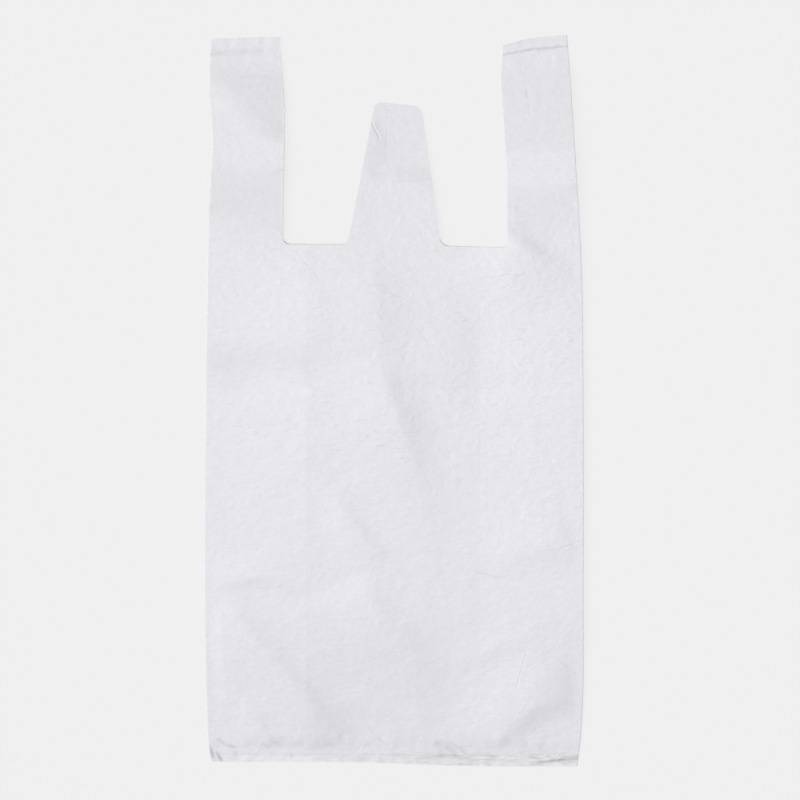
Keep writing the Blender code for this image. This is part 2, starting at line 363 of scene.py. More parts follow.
@dataclass(frozen=True)
class BagOutline:
    """Plan of the bag: ends, welds, outer and inner folds, and the die cut.

    Heights up the bag are Y on a bag whose ends are square, with 0 half way up.

    Attributes:
        bottom, bottom_weld, top_weld, top: heights of the ends and of the welds' middles.
        bottom_calm, top_calm: heights between which nothing slants.
        mouth: height of the mouth's edges beside the tab.
        weld_half: half a weld's length along the bag.
        left_edge, right_edge: (height, X) of the outer folds.
        left_gusset, right_gusset: X of the inner folds.
        bottom_edge_line, bottom_weld_line, top_weld_line, top_edge_line: (X, Y) along the ends
            and the welds, with the slant that they really have.
        die_cut: corners (X, Y, radius) of what the die cuts away.
    """

    bottom: float = -0.2740
    bottom_weld: float = -0.2655
    bottom_calm: float = -0.2100
    mouth: float = 0.1160
    top_calm: float = 0.1650
    top_weld: float = 0.2625
    top: float = 0.2730
    weld_half: float = 0.0015
    left_edge: tuple[PlanPoint, ...] = (
        (-0.2740, -0.1368), (-0.2600, -0.1388), (-0.2250, -0.1404), (-0.1600, -0.1417), (0.0200, -0.1408),
        (0.1000, -0.1396), (0.1500, -0.1383), (0.2000, -0.1361), (0.2300, -0.1380), (0.2730, -0.1378),
    )
    right_edge: tuple[PlanPoint, ...] = (
        (-0.2740, 0.1372), (-0.2600, 0.1391), (-0.2250, 0.1414), (-0.1500, 0.1418),
        (0.0000, 0.1418), (0.1000, 0.1404), (0.2000, 0.1346), (0.2730, 0.1296),
    )
    left_gusset: float = -0.0668
    right_gusset: float = 0.0653
    bottom_edge_line: tuple[PlanPoint, ...] = (
        (-0.142, -0.2705), (-0.025, -0.2712), (0.050, -0.2738), (0.142, -0.2740),
    )
    bottom_weld_line: tuple[PlanPoint, ...] = ((-0.142, -0.2640), (0.000, -0.2648), (0.142, -0.2660))
    top_weld_line: tuple[PlanPoint, ...] = (
        (-0.138, 0.2620), (-0.086, 0.2625), (0.080, 0.2604), (0.131, 0.2652),
    )
    top_edge_line: tuple[PlanPoint, ...] = (
        (-0.138, 0.2712), (-0.086, 0.2728), (0.080, 0.2658), (0.096, 0.2703), (0.131, 0.2742),
    )
    die_cut: tuple[Point, ...] = (
        (-0.0868, 0.2900, 0.0), (-0.0817, 0.2180, 0.030), (-0.0833, 0.1177, 0.005),
        (-0.0348, 0.1174, 0.0065), (-0.0140, 0.2240, 0.005), (0.0206, 0.2206, 0.008),
        (0.0350, 0.1163, 0.0075), (0.0853, 0.1150, 0.0045), (0.0850, 0.1750, 0.030),
        (0.0801, 0.2400, 0.030), (0.0838, 0.2900, 0.0),
    )

    def slanted(self, x: np.ndarray, height: float) -> np.ndarray:
        """Y of points at this square height, once the ends and welds have their slant.

        Args:
            x: places across the bag.
            height: height up the square bag.

        Returns:
            Their Y.
        """
        knots = (
            (self.bottom, self.bottom_edge_line),
            (self.bottom_weld, self.bottom_weld_line),
            (self.bottom_calm, None),
            (self.top_calm, None),
            (self.top_weld, self.top_weld_line),
            (self.top, self.top_edge_line),
        )
        heights = [knot for knot, _ in knots]
        real = np.full_like(x, height)
        for index, (knot, line) in enumerate(knots):
            if line is not None:
                share = np.interp(height, heights, np.eye(len(knots))[index])
                real += share * (curve_at(line, x) - knot)
        return real

    def sides(self, height: float) -> tuple[float, float]:
        """X of the outer folds at this height."""
        return curve_at(self.left_edge, height), curve_at(self.right_edge, height)

    def weld_distance(self, height: float) -> float:
        """Distance up or down the bag from this height to the nearest weld."""
        return min(abs(height - self.bottom_weld), abs(height - self.top_weld))

    def past_gusset(self, x: np.ndarray) -> np.ndarray:
        """Distance past the nearest inner fold of a gusset, below zero between the two."""
        return np.maximum(self.left_gusset - x, x - self.right_gusset)


@dataclass(frozen=True)
class FilmStack:
    """The film's thickness and the spacing of its layers.

    Attributes:
        film: thickness drawn, where the real film is about 0.015 mm.
        ply: from the middle of one loose layer to the middle of the next.
        pressed_ply: the same at a weld.
        weld_ease: distance over which pressed layers come apart.
        row_gap: rows of the mesh stand this far outside a weld's edges.
        fold_reach: how far the round edge of a fold stands out past its layers.
        bridge: distance over which the front panel comes down beside a gusset.
        floor_ease: a hollow of the front panel levels out within this of the layer below.
        end_gap: how far the cut ends past the welds come apart, as a share of loose layers.
        flutter: how much further apart they stand in the waves along those ends, as a share.
        flutter_middle: middle height of the waves.
        flutter_waves: length and height of each wave.
    """

    film: float = 0.00008
    ply: float = 0.0005
    pressed_ply: float = 0.0003
    weld_ease: float = 0.010
    row_gap: float = 0.0003
    fold_reach: float = 0.00025
    bridge: float = 0.045
    floor_ease: float = 0.0003
    end_gap: float = 0.30
    flutter: float = 0.55
    flutter_middle: float = 0.5
    flutter_waves: tuple[PlanPoint, ...] = ((0.041, 0.3), (0.023, 0.2))

    def layers_at(self, outline: BagOutline, x: np.ndarray) -> np.ndarray:
        """Layers that hold up the front panel: one between the gussets and three on them."""
        return 1.0 + 2.0 * smooth_step(outline.past_gusset(x), -self.bridge, -self.fold_reach)

    def ply_at(self, outline: BagOutline, x: np.ndarray, height: float) -> np.ndarray:
        """Spacing of the layers, close at the welds and loose elsewhere.

        Args:
            outline: the bag's plan.
            x: places across the bag.
            height: height up the square bag.

        Returns:
            The spacing at each place.
        """
        half = outline.weld_half + self.row_gap
        apart = smooth_step(outline.weld_distance(height), half, self.weld_ease)
        past_weld = max(outline.bottom_weld - height, height - outline.top_weld)
        wave = self.flutter_middle
        for length, size in self.flutter_waves:
            wave = wave + size * np.sin(2 * np.pi * x / length)
        past = smooth_step(past_weld, half, self.weld_ease)
        loose = self.ply * (1.0 + self.flutter * wave * past) - self.pressed_ply
        return self.pressed_ply + loose * apart * (self.end_gap if past_weld > half else 1.0)


@dataclass(frozen=True)
class AirInside:
    """Heights that the air inside gives the front panel, the gussets and the handles.

    Attributes:
        loft: rise of the front panel along its middle.
        loft_side: distance from the middle line at which it has none.
        loft_foot: distance above the bottom weld over which it rises.
        tab_reach: distance above the mouth over which the tab comes down to its tip.
        tab_tip_share: share of the loft left at the tip.
        tab_half: half the tab's width at its foot.
        strap_start: half the space between the handles.
        strap_fade: heights between which the loft ends beside the tab.
        arch: how far each handle's front strap stands over its back strap.
        arch_start: distance from the middle line past which the straps arch.
        arch_foot: heights between which the arch rises.
        arch_head: heights between which it comes down again.
        left_strap: X of the left handle's two edges.
        left_lean: (height, lean) of its front strap: at 1 its left edge stands half as much higher
            as the arch, and its right edge half as much lower.
        left_shear: (height, drop of the lean's heights across the strap, as a share of its width).
        right_strap: X of the right handle's two edges.
        right_lean: the same for the right handle, whose heights run straight across.
        left_ajar: (height, opening) of the left gusset's outer folds.
        right_ajar: opening of the right gusset's outer folds.
        ajar_reach: distance past the inner fold at which a gusset is fully ajar.
    """

    loft: float = 0.0042
    loft_side: float = 0.138
    loft_foot: float = 0.115
    tab_reach: float = 0.108
    tab_tip_share: float = 0.12
    tab_half: float = 0.038
    strap_start: float = 0.080
    strap_fade: PlanPoint = (0.100, 0.155)
    arch: float = 0.0050
    arch_start: float = 0.062
    arch_foot: PlanPoint = (0.112, 0.158)
    arch_head: PlanPoint = (0.230, 0.2585)
    left_strap: PlanPoint = (-0.137, -0.083)
    left_lean: tuple[PlanPoint, ...] = (
        (0.112, 0.0), (0.128, 0.4), (0.142, 1.0), (0.156, 0.9), (0.168, 0.6),
        (0.178, 0.0), (0.203, -0.1), (0.216, 0.45), (0.226, 0.9), (0.262, 1.0),
    )
    left_shear: tuple[PlanPoint, ...] = ((0.135, 0.45), (0.165, 0.0), (0.185, 0.1), (0.200, 0.7))
    right_strap: PlanPoint = (0.082, 0.135)
    right_lean: tuple[PlanPoint, ...] = (
        (0.112, 0.4), (0.130, 0.8), (0.143, 0.5), (0.156, 0.3), (0.163, -0.2),
        (0.186, -0.22), (0.192, 0.22), (0.205, 0.25), (0.262, 0.3),
    )
    left_ajar: tuple[PlanPoint, ...] = (
        (-0.250, 0.0040), (-0.190, 0.0046), (-0.110, 0.0041), (0.100, 0.0039),
    )
    right_ajar: float = 0.0031
    ajar_reach: float = 0.070

    def loft_at(self, outline: BagOutline, stack: FilmStack, x: np.ndarray, height: float) -> np.ndarray:
        """Rise of the front panel over the air inside, which leaves it a low, even crown.

        Args:
            outline: the bag's plan.
            stack: the film's layers.
            x: places across the bag.
            height: height up the square bag.

        Returns:
            The rise at each place.
        """
        away, past = np.abs(x), outline.past_gusset(x)
        edge = 2 * stack.ply + self.opening_at(x, height)
        crown = self.loft - (self.loft - edge) * smooth_step(away, 0.0, self.loft_side)
        gusset = (stack.layers_at(outline, x) - 1.0) * stack.ply
        gusset += self.opening_at(x, height) * smooth_step(past, 0.0, self.ajar_reach)
        tab_fall = smooth_step(height, outline.mouth, outline.mouth + self.tab_reach)
        tab = 1.0 - (1.0 - self.tab_tip_share) * tab_fall
        strap = 1.0 - smooth_step(height, *self.strap_fade)
        beside = smooth_step(away, self.tab_half, self.strap_start)
        foot = self._foot_at(outline, height)
        return np.maximum(crown - gusset, 0.0) * foot * (tab + (strap - tab) * beside)

    def arch_at(self, x: np.ndarray, height: float) -> np.ndarray:
        """How far a handle's front strap stands above its back strap.

        Args:
            x: places across the bag.
            height: height up the square bag.

        Returns:
            The opening at each place.
        """
        rise = smooth_step(height, *self.arch_foot) * (1.0 - smooth_step(height, *self.arch_head))
        sides = (
            (x < 0.0, self.left_strap, self.left_lean, float(line_at(self.left_shear, height))),
            (x >= 0.0, self.right_strap, self.right_lean, 0.0),
        )
        lean = np.zeros_like(x)
        for here, (start, end), table, shear in sides:
            share = np.clip((x - start) / (end - start), 0.0, 1.0)
            level = height + shear * (share - 0.5) * (end - start)
            lean += here * line_at(table, level) * (0.5 - share)
        return self.arch * rise * (1.0 + lean)

    def opening_at(self, x: np.ndarray, height: float) -> np.ndarray:
        """How far the outer folds on each place's side of the bag stand open at this height."""
        return np.where(x < 0.0, line_at(self.left_ajar, height), self.right_ajar)

    def ajar_at(self, outline: BagOutline, x: np.ndarray, height: float) -> np.ndarray:
        """How far a gusset stands open.

        Args:
            outline: the bag's plan.
            x: places across the bag.
            height: height up the square bag.

        Returns:
            The opening at each place, 0 between the inner folds and at both ends of the body.
        """
        head = 1.0 - smooth_step(height, *self.arch_foot)
        open_share = smooth_step(outline.past_gusset(x), 0.0, self.ajar_reach)
        return self.opening_at(x, height) * self._foot_at(outline, height) * head * open_share

    def _foot_at(self, outline: BagOutline, height: float) -> float:
        """Share of the air's heights that is there above the bottom weld."""
        start, end = outline.bottom_weld + outline.weld_half, outline.bottom_weld + self.loft_foot
        return smooth_step(height, start, end)


@dataclass(frozen=True)
class FilmFinish:
    """Blown high-density polyethylene film, pigmented white.

    It is milky and faintly cool, and its blown, quickly cooled surface is satin and not glossy.
    Two layers over a pale table look greyer than four. It keeps every crease: fine crackle from
    handling, faint lines along the tube from the blowing die, and the lines of the folds. Its colour also
    holds painted light: shade darkened in along the creases, the crackle's ridges and the drooping bottom
    skirt, and a painted highlight along each gusset's inner fold.

    Attributes:
        two_layers, four_layers: colours between the gussets and on them.
        inner_fold: colour of the painted highlight along a gusset's inner fold, where the fold presses a
            ridge up under the front panel.
        tone_and_shade_grey: the darker grey that the film's colour goes toward with its random mottle and
            its painted shade.
        roughness, ior: of its surface.
        fold_blur: half the distance over which two layers turn to four.
        fold_highlight: half-width of that painted highlight.
        fold_highlight_strength: how far it takes the inner fold's colour.
        fold_highlight_fade: distance below the mouth over which it comes in.
        mottle_size, mottle_detail, mottle_clear: its uneven thickness: size across and along
            the bag, finer grains in it, and how much clearer it makes the film.
        crackle_size, crackle_height, crackle_shade: size and relief of the crackle, and how much shade is
        painted along its ridges.
        crackle_band: heights at which the crackle starts, is full, is still full and ends.
        crackle_elsewhere: share of it outside that band.
        crumple_size, crumple_height: of the soft dents from crumpling.
        die_line_size, die_line_height: of the lines from the blowing die.
        streak_size, streak_shade: size and strength of the streaky painted shade on the bottom skirt past
            the weld, where it droops away from the light.
        streak_grain: noise between which a streak comes in.
        streak_reach: distance from the skirt's middle at which the streaks end.
        streak_full: share of that distance up to which they are full.
        streak_side: X between which they grow to their full strength.
        streak_left: share of it left of that.
        grain_detail: finer grains in each noise.
        grain_twist: distortion of a noise for each of its finer grains.
        crease_fade: longest distance over which a crease ends, in millimetres.
        crease_tip: largest share of half its length over which it ends.
        crease_wander: length and height of the creases' wander.
        creases: the sharp creases.
    """

    two_layers: str = "#e4e3e8"
    four_layers: str = "#e6e5ea"
    # Painted highlight along the gussets' inner folds.
    inner_fold: str = "#ecebf0"
    tone_and_shade_grey: str = "#b4b4ba"
    roughness: float = 0.42
    ior: float = 1.54
    fold_blur: float = 1.2 * MM
    fold_highlight: float = 1.6 * MM
    fold_highlight_strength: float = 0.17
    fold_highlight_fade: float = 0.05
    mottle_size: PlanPoint = (5.2 * MM, 4.0 * MM)
    mottle_detail: float = 4.0
    mottle_clear: float = 0.26
    crackle_size: PlanPoint = (9.0 * MM, 4.0 * MM)
    crackle_height: float = 0.26 * MM
    crackle_shade: float = 0.045
    crackle_band: tuple[float, float, float, float] = (-0.085, -0.020, 0.115, 0.150)
    crackle_elsewhere: float = 0.55
    crumple_size: PlanPoint = (6.0 * MM, 6.0 * MM)
    crumple_height: float = 0.22 * MM
    die_line_size: PlanPoint = (1.8 * MM, 60.0 * MM)
    die_line_height: float = 0.012 * MM
    streak_size: PlanPoint = (13.0 * MM, 1.7 * MM)
    streak_shade: float = 0.52
    streak_grain: PlanPoint = (0.38, 0.72)
    streak_reach: float = 8.5 * MM
    streak_full: float = 0.4
    streak_side: PlanPoint = (-0.010, 0.050)
    streak_left: float = 0.35
    grain_detail: float = 2.0
    grain_twist: float = 0.3
    crease_fade: float = 6.0
    crease_tip: float = 0.8
    crease_wander: PlanPoint = (6.0 * MM, 2.0 * MM)
    creases: tuple[SharpCrease, ...] = ()

    def make(self, outline: BagOutline) -> bpy.types.Material:
        """Builds the material.

        Args:
            outline: the bag's plan, for the gussets' inner folds and the mouth.

        Returns:
            The film's material.
        """
        material = bpy.data.materials.new("white_polyethylene_film")
        material.use_nodes = True
        tree = material.node_tree
        shader = tree.nodes["Principled BSDF"]
        shader.inputs["Roughness"].default_value = self.roughness
        shader.inputs["IOR"].default_value = self.ior
        place = add_node(tree, "ShaderNodeTexCoord").outputs["Object"]
        crackle = self._add_crackle(tree, place)
        mottle = self._add_grain(tree, place, self.mottle_size, "FBM", self.mottle_detail)
        # clear adds up how much darker the colour gets: the film's own random mottle, and painted shade on
        # the bottom skirt, along the crackle's ridges and in the creases.
        clear = maths(tree, "ADD", self._add_skirt_shade(tree, place, outline), -self.mottle_clear / 2)
        # The crackle paints shade along its ridges; the mottle is the film's own uneven tone.
        for value, strength in ((crackle, self.crackle_shade), (mottle, self.mottle_clear)):
            clear = maths(tree, "MULTIPLY_ADD", value, strength, clear)
        height, clear = self._add_creases(tree, place, self._add_relief(tree, place, crackle), clear)
        layers = self._add_layer_colour(tree, place, outline)
        # Mottle and painted shade take the layers' colour toward the darker grey.
        colour = mix_colours(tree, clear, layers, linear_rgb(self.tone_and_shade_grey), clamped=False)
        tree.links.new(colour, shader.inputs["Base Color"])
        bump = add_node(tree, "ShaderNodeBump", {}, {"Strength": 1.0, "Distance": 1.0, "Height": height})
        tree.links.new(bump.outputs["Normal"], shader.inputs["Normal"])
        return material

    def _add_layer_colour(self, tree: Tree, place: Socket, outline: BagOutline) -> Socket:
        """Adds the film's colour: greyer on two layers, milkier on four, with a painted highlight along each
        inner fold.

        Args:
            tree: the material's nodes.
            place: object coordinates.
            outline: the bag's plan.

        Returns:
            The colour's socket.
        """
        split = add_node(tree, "ShaderNodeSeparateXYZ", inputs={0: place})
        left = maths(tree, "SUBTRACT", outline.left_gusset, split.outputs["X"])
        right = maths(tree, "SUBTRACT", split.outputs["X"], outline.right_gusset)
        past = maths(tree, "MAXIMUM", left, right)
        four = map_range(tree, past, -self.fold_blur, self.fold_blur)
        layers = mix_colours(tree, four, linear_rgb(self.two_layers), linear_rgb(self.four_layers))
        # A painted highlight along each inner fold, fading out below the mouth.
        near = maths(tree, "ABSOLUTE", past)
        line = map_range(tree, near, self.fold_highlight, 0.0, high=self.fold_highlight_strength)
        mouth = outline.mouth
        below = map_range(tree, split.outputs["Y"], mouth, mouth - self.fold_highlight_fade, way="LINEAR")
        shown = maths(tree, "MULTIPLY", line, below)
        return mix_colours(tree, shown, layers, linear_rgb(self.inner_fold))

    def _add_crackle(self, tree: Tree, place: Socket) -> Socket:
        """Adds the crackle from handling, strongest across the middle of the bag.

        Args:
            tree: the material's nodes.
            place: object coordinates.

        Returns:
            The socket of its strength, from 0 to about 1.
        """
        crackle = self._add_grain(tree, place, self.crackle_size, "RIDGED_MULTIFRACTAL")
        y = add_node(tree, "ShaderNodeSeparateXYZ", inputs={0: place}).outputs["Y"]
        low, low_full, high_full, high = self.crackle_band
        rise = map_range(tree, y, low, low_full, self.crackle_elsewhere)
        fall = map_range(tree, y, high, high_full, self.crackle_elsewhere)
        return maths(tree, "MULTIPLY", crackle, maths(tree, "MINIMUM", rise, fall))

    def _add_skirt_shade(self, tree: Tree, place: Socket, outline: BagOutline) -> Socket:
        """Adds streaky painted shade on the bottom skirt past the weld, most to the right, where the skirt
        droops away from the light.

        Args:
            tree: the material's nodes.
            place: object coordinates.
            outline: the bag's plan, for the weld.

        Returns:
            The socket of how clear they are.
        """
        grain = self._add_grain(tree, place, self.streak_size, "FBM")
        split = add_node(tree, "ShaderNodeSeparateXYZ", inputs={0: place})
        middle = (outline.bottom + outline.bottom_weld) / 2
        near = maths(tree, "ABSOLUTE", maths(tree, "SUBTRACT", split.outputs["Y"], middle))
        strong = map_range(tree, grain, *self.streak_grain, high=self.streak_shade)
        foot = map_range(tree, near, self.streak_reach, self.streak_full * self.streak_reach)
        side = map_range(tree, split.outputs["X"], *self.streak_side, low=self.streak_left)
        return maths(tree, "MULTIPLY", maths(tree, "MULTIPLY", strong, foot), side)

    def _add_relief(self, tree: Tree, place: Socket, crackle: Socket) -> Socket:
        """Adds the fine relief: crackle, crumple and die lines.

        Args:
            tree: the material's nodes.
            place: object coordinates.
            crackle: strength of the crackle.

        Returns:
            The socket of its height in metres.
        """
        total = maths(tree, "MULTIPLY", crackle, self.crackle_height)
        grains = (
            (self.crumple_size, self.crumple_height),
            (self.die_line_size, self.die_line_height),
        )
        for size, height in grains:
            total = maths(tree, "MULTIPLY_ADD", self._add_grain(tree, place, size, "FBM"), height, total)
        return total

    def _add_grain(
        self, tree: Tree, place: Socket, size: PlanPoint, pattern: str, detail: float | None = None
    ) -> Socket:
        """Adds one layer of fine grain, for the film's relief or for its colour.

        Args:
            tree: the material's nodes.
            place: object coordinates.
            size: length of its grains across the bag and along it.
            pattern: kind of noise.
            detail: how many finer grains it holds, where that differs from grain_detail.

        Returns:
            The socket of its height, about 0 to 1.
        """
        across, along = size
        detail = detail or self.grain_detail
        inputs = {
            "Vector": vector_maths(tree, "MULTIPLY", place, (1 / across, 1 / along, 1 / along)),
            "Scale": 1.0,
            "Detail": detail,
            "Distortion": self.grain_twist * detail,
        }
        return add_node(tree, "ShaderNodeTexNoise", {"noise_type": pattern}, inputs).outputs["Fac"]

    def _add_creases(
        self, tree: Tree, place: Socket, height: Socket, clear: Socket
    ) -> tuple[Socket, Socket]:
        """Adds the sharp creases one after another, all with the same slight wander.

        Args:
            tree: the material's nodes.
            place: object coordinates.
            height: the height so far.
            clear: how much darker the film's colour is so far, from its mottle and painted shade.

        Returns:
            The sockets of the height and of how much darker the colour is, with the creases' painted shade.
        """
        group = crease_mark_group()
        length, size = self.crease_wander
        inputs = {"Vector": place, "Scale": 1 / length, "Detail": self.grain_detail}
        noise = add_node(tree, "ShaderNodeTexNoise", {}, inputs)
        stray = maths(tree, "MULTIPLY_ADD", noise.outputs["Fac"], size, -size / 2)
        for crease in self.creases:
            start, end = Vector((*crease.start, 0.0)), Vector((*crease.end, 0.0))
            along = (end - start).normalized()
            half = (end - start).length / 2
            values = {
                "Place": place,
                "Stray": stray,
                "Middle": (start + end) / 2 * MM,
                "Along": along,
                "Across": (-along.y, along.x, 0.0),
                "Half Length": half * MM,
                "Full Length": (half - min(self.crease_tip * half, self.crease_fade)) * MM,
                "Half Width": crease.half_width * MM,
            }
            mark = add_node(tree, "ShaderNodeGroup", {"node_tree": group}, values).outputs[0]
            if crease.depth:
                height = maths(tree, "MULTIPLY_ADD", mark, -crease.depth * MM, height)
            # Paints the crease's shade into the colour.
            if crease.clear:
                clear = maths(tree, "MULTIPLY_ADD", mark, crease.clear, clear)
        return height, clear


def crease_mark_group() -> Tree:
    """Builds the shader group that tells where one straight crease is.

    Returns:
        The group, whose output is 1 along the crease's middle and 0 outside it.
    """
    inputs = {
        "Place": "Vector",
        "Stray": "Float",
        "Middle": "Vector",
        "Along": "Vector",
        "Across": "Vector",
        "Half Length": "Float",
        "Full Length": "Float",
        "Half Width": "Float",
    }
    tree, given = new_tree("crease_mark", "ShaderNodeTree", inputs, "Float")
    offset = vector_maths(tree, "SUBTRACT", given["Place"], given["Middle"])
    along, across = (vector_maths(tree, "DOT_PRODUCT", offset, given[way]) for way in ("Along", "Across"))
    strayed = maths(tree, "ADD", across, given["Stray"])
    reach = maths(tree, "MULTIPLY", given["Half Width"], CREASE_SPREAD)
    parts = [
        map_range(tree, maths(tree, "ABSOLUTE", value), none, full)
        for value, none, full in (
            (along, given["Half Length"], given["Full Length"]),
            (strayed, reach, 0.0),
        )
    ]
    add_node(tree, "NodeGroupOutput", inputs={"Made": maths(tree, "MULTIPLY", *parts)})
    return tree


def read_field(tree: Tree, name: str) -> Socket:
    """Adds a node that reads one of the film's attributes, and gives its value."""
    node = add_node(tree, "GeometryNodeInputNamedAttribute", {"data_type": "FLOAT"}, {"Name": name})
    return node.outputs[0]


def soft_fold_tree() -> Tree:
    """Builds the tree that adds one soft fold to the film's attribute "rise".

    The film rises to the crest's own height at the crest, and falls away from it within the
    steep half-width on one side and the gentle one on the other.

    Returns:
        The tree.
    """
    inputs = {
        "Geometry": "Geometry",
        "Crest": "Object",
        "Facing": "Vector",
        "Steep Width": "Float",
        "Gentle Width": "Float",
        "Steep Roundness": "Float",
        "Film": "Material",
    }
    tree, given = new_tree("soft_fold", "GeometryNodeTree", inputs, "Geometry")
    in_plan = (1.0, 1.0, 0.0)
    place = add_node(tree, "GeometryNodeInputPosition").outputs[0]
    plan = vector_maths(tree, "MULTIPLY", place, in_plan)
    crest = add_node(tree, "GeometryNodeObjectInfo", {}, {"Object": given["Crest"]})
    line = add_node(tree, "GeometryNodeCurveToMesh", {}, {"Curve": crest.outputs["Geometry"]})
    sought = {"Geometry": line.outputs[0], "Sample Position": plan}
    near = add_node(tree, "GeometryNodeProximity", {"target_element": "EDGES"}, sought).outputs["Position"]
    away = vector_maths(tree, "MULTIPLY", vector_maths(tree, "SUBTRACT", plan, near), in_plan)
    direction = vector_maths(tree, "NORMALIZE", away)
    side = vector_maths(tree, "DOT_PRODUCT", direction, given["Facing"])
    width, roundness = (
        map_range(tree, side, -SIDE_TURN, SIDE_TURN, gentle, steep)
        for gentle, steep in (
            (given["Gentle Width"], given["Steep Width"]),
            (ROUND_CREST, given["Steep Roundness"]),
        )
    )
    share = maths(tree, "DIVIDE", vector_maths(tree, "LENGTH", away), width)
    power = maths(tree, "POWER", share, roundness)
    fall = maths(tree, "EXPONENT", maths(tree, "MULTIPLY", power, -1.0))
    crest_height = add_node(tree, "ShaderNodeSeparateXYZ", inputs={0: near}).outputs["Z"]
    total = maths(tree, "MULTIPLY_ADD", fall, crest_height, read_field(tree, "rise"))
    stored = add_node(
        tree,
        "GeometryNodeStoreNamedAttribute",
        {"data_type": "FLOAT", "domain": "POINT"},
        {"Geometry": given["Geometry"], "Name": "rise", "Value": total},
    )
    finish_tree(tree, given, stored.outputs[0])
    return tree


def settle_film_tree(ripples: tuple[Ripple, ...]) -> Tree:
    """Builds the tree that lays the front panel over the layers below it.

    The panel's height is the layer below plus its loft, its soft folds and its ripples, and a
    hollow levels out within "Floor Ease" of the layer below.

    Args:
        ripples: the uneven waves.

    Returns:
        The tree.
    """
    inputs = {"Geometry": "Geometry", "Floor Ease": "Float"}
    for ripple in ripples:
        inputs[f"{ripple.name} Height"] = "Float"
        inputs[f"{ripple.name} Density"] = "Vector"
        inputs[f"{ripple.name} Seed"] = "Float"
    inputs["Film"] = "Material"
    tree, given = new_tree("settle_film", "GeometryNodeTree", inputs, "Geometry")
    place = add_node(tree, "GeometryNodeInputPosition").outputs[0]
    fields = {name: read_field(tree, name) for name in FIELDS}
    total = maths(tree, "MULTIPLY_ADD", fields["rise"], fields["room"], fields["loft"])
    for ripple in ripples:
        noise_inputs = {
            "Vector": vector_maths(tree, "MULTIPLY", place, given[f"{ripple.name} Density"]),
            "W": given[f"{ripple.name} Seed"],
            "Scale": 1.0,
            "Detail": RIPPLE_DETAIL,
            "Distortion": RIPPLE_TWIST,
        }
        noise = add_node(tree, "ShaderNodeTexNoise", {"noise_dimensions": "4D"}, noise_inputs)
        centred = maths(tree, "MULTIPLY_ADD", noise.outputs["Fac"], 2 * RIPPLE_SPAN, -RIPPLE_SPAN)
        wave = maths(tree, "MULTIPLY", centred, given[f"{ripple.name} Height"])
        total = maths(tree, "MULTIPLY_ADD", wave, fields[ripple.mask], total)
    # Half of a height plus the root of its square and the ease's square follows the height well
    # above 0 and levels out to 0 below it.
    square, ease = (maths(tree, "POWER", value, 2.0) for value in (total, given["Floor Ease"]))
    root = maths(tree, "SQRT", maths(tree, "ADD", square, ease))
    height = maths(tree, "MULTIPLY_ADD", maths(tree, "ADD", total, root), 0.5, fields["floor"])
    split = add_node(tree, "ShaderNodeSeparateXYZ", inputs={0: place})
    parts = {"X": split.outputs["X"], "Y": split.outputs["Y"], "Z": height}
    settled = add_node(tree, "ShaderNodeCombineXYZ", inputs=parts)
    moved = add_node(
        tree,
        "GeometryNodeSetPosition",
        {},
        {
            "Geometry": given["Geometry"],
            "Selection": fields["front"],
            "Position": settled.outputs[0],
        },
    )
    finish_tree(tree, given, moved.outputs[0])
    return tree


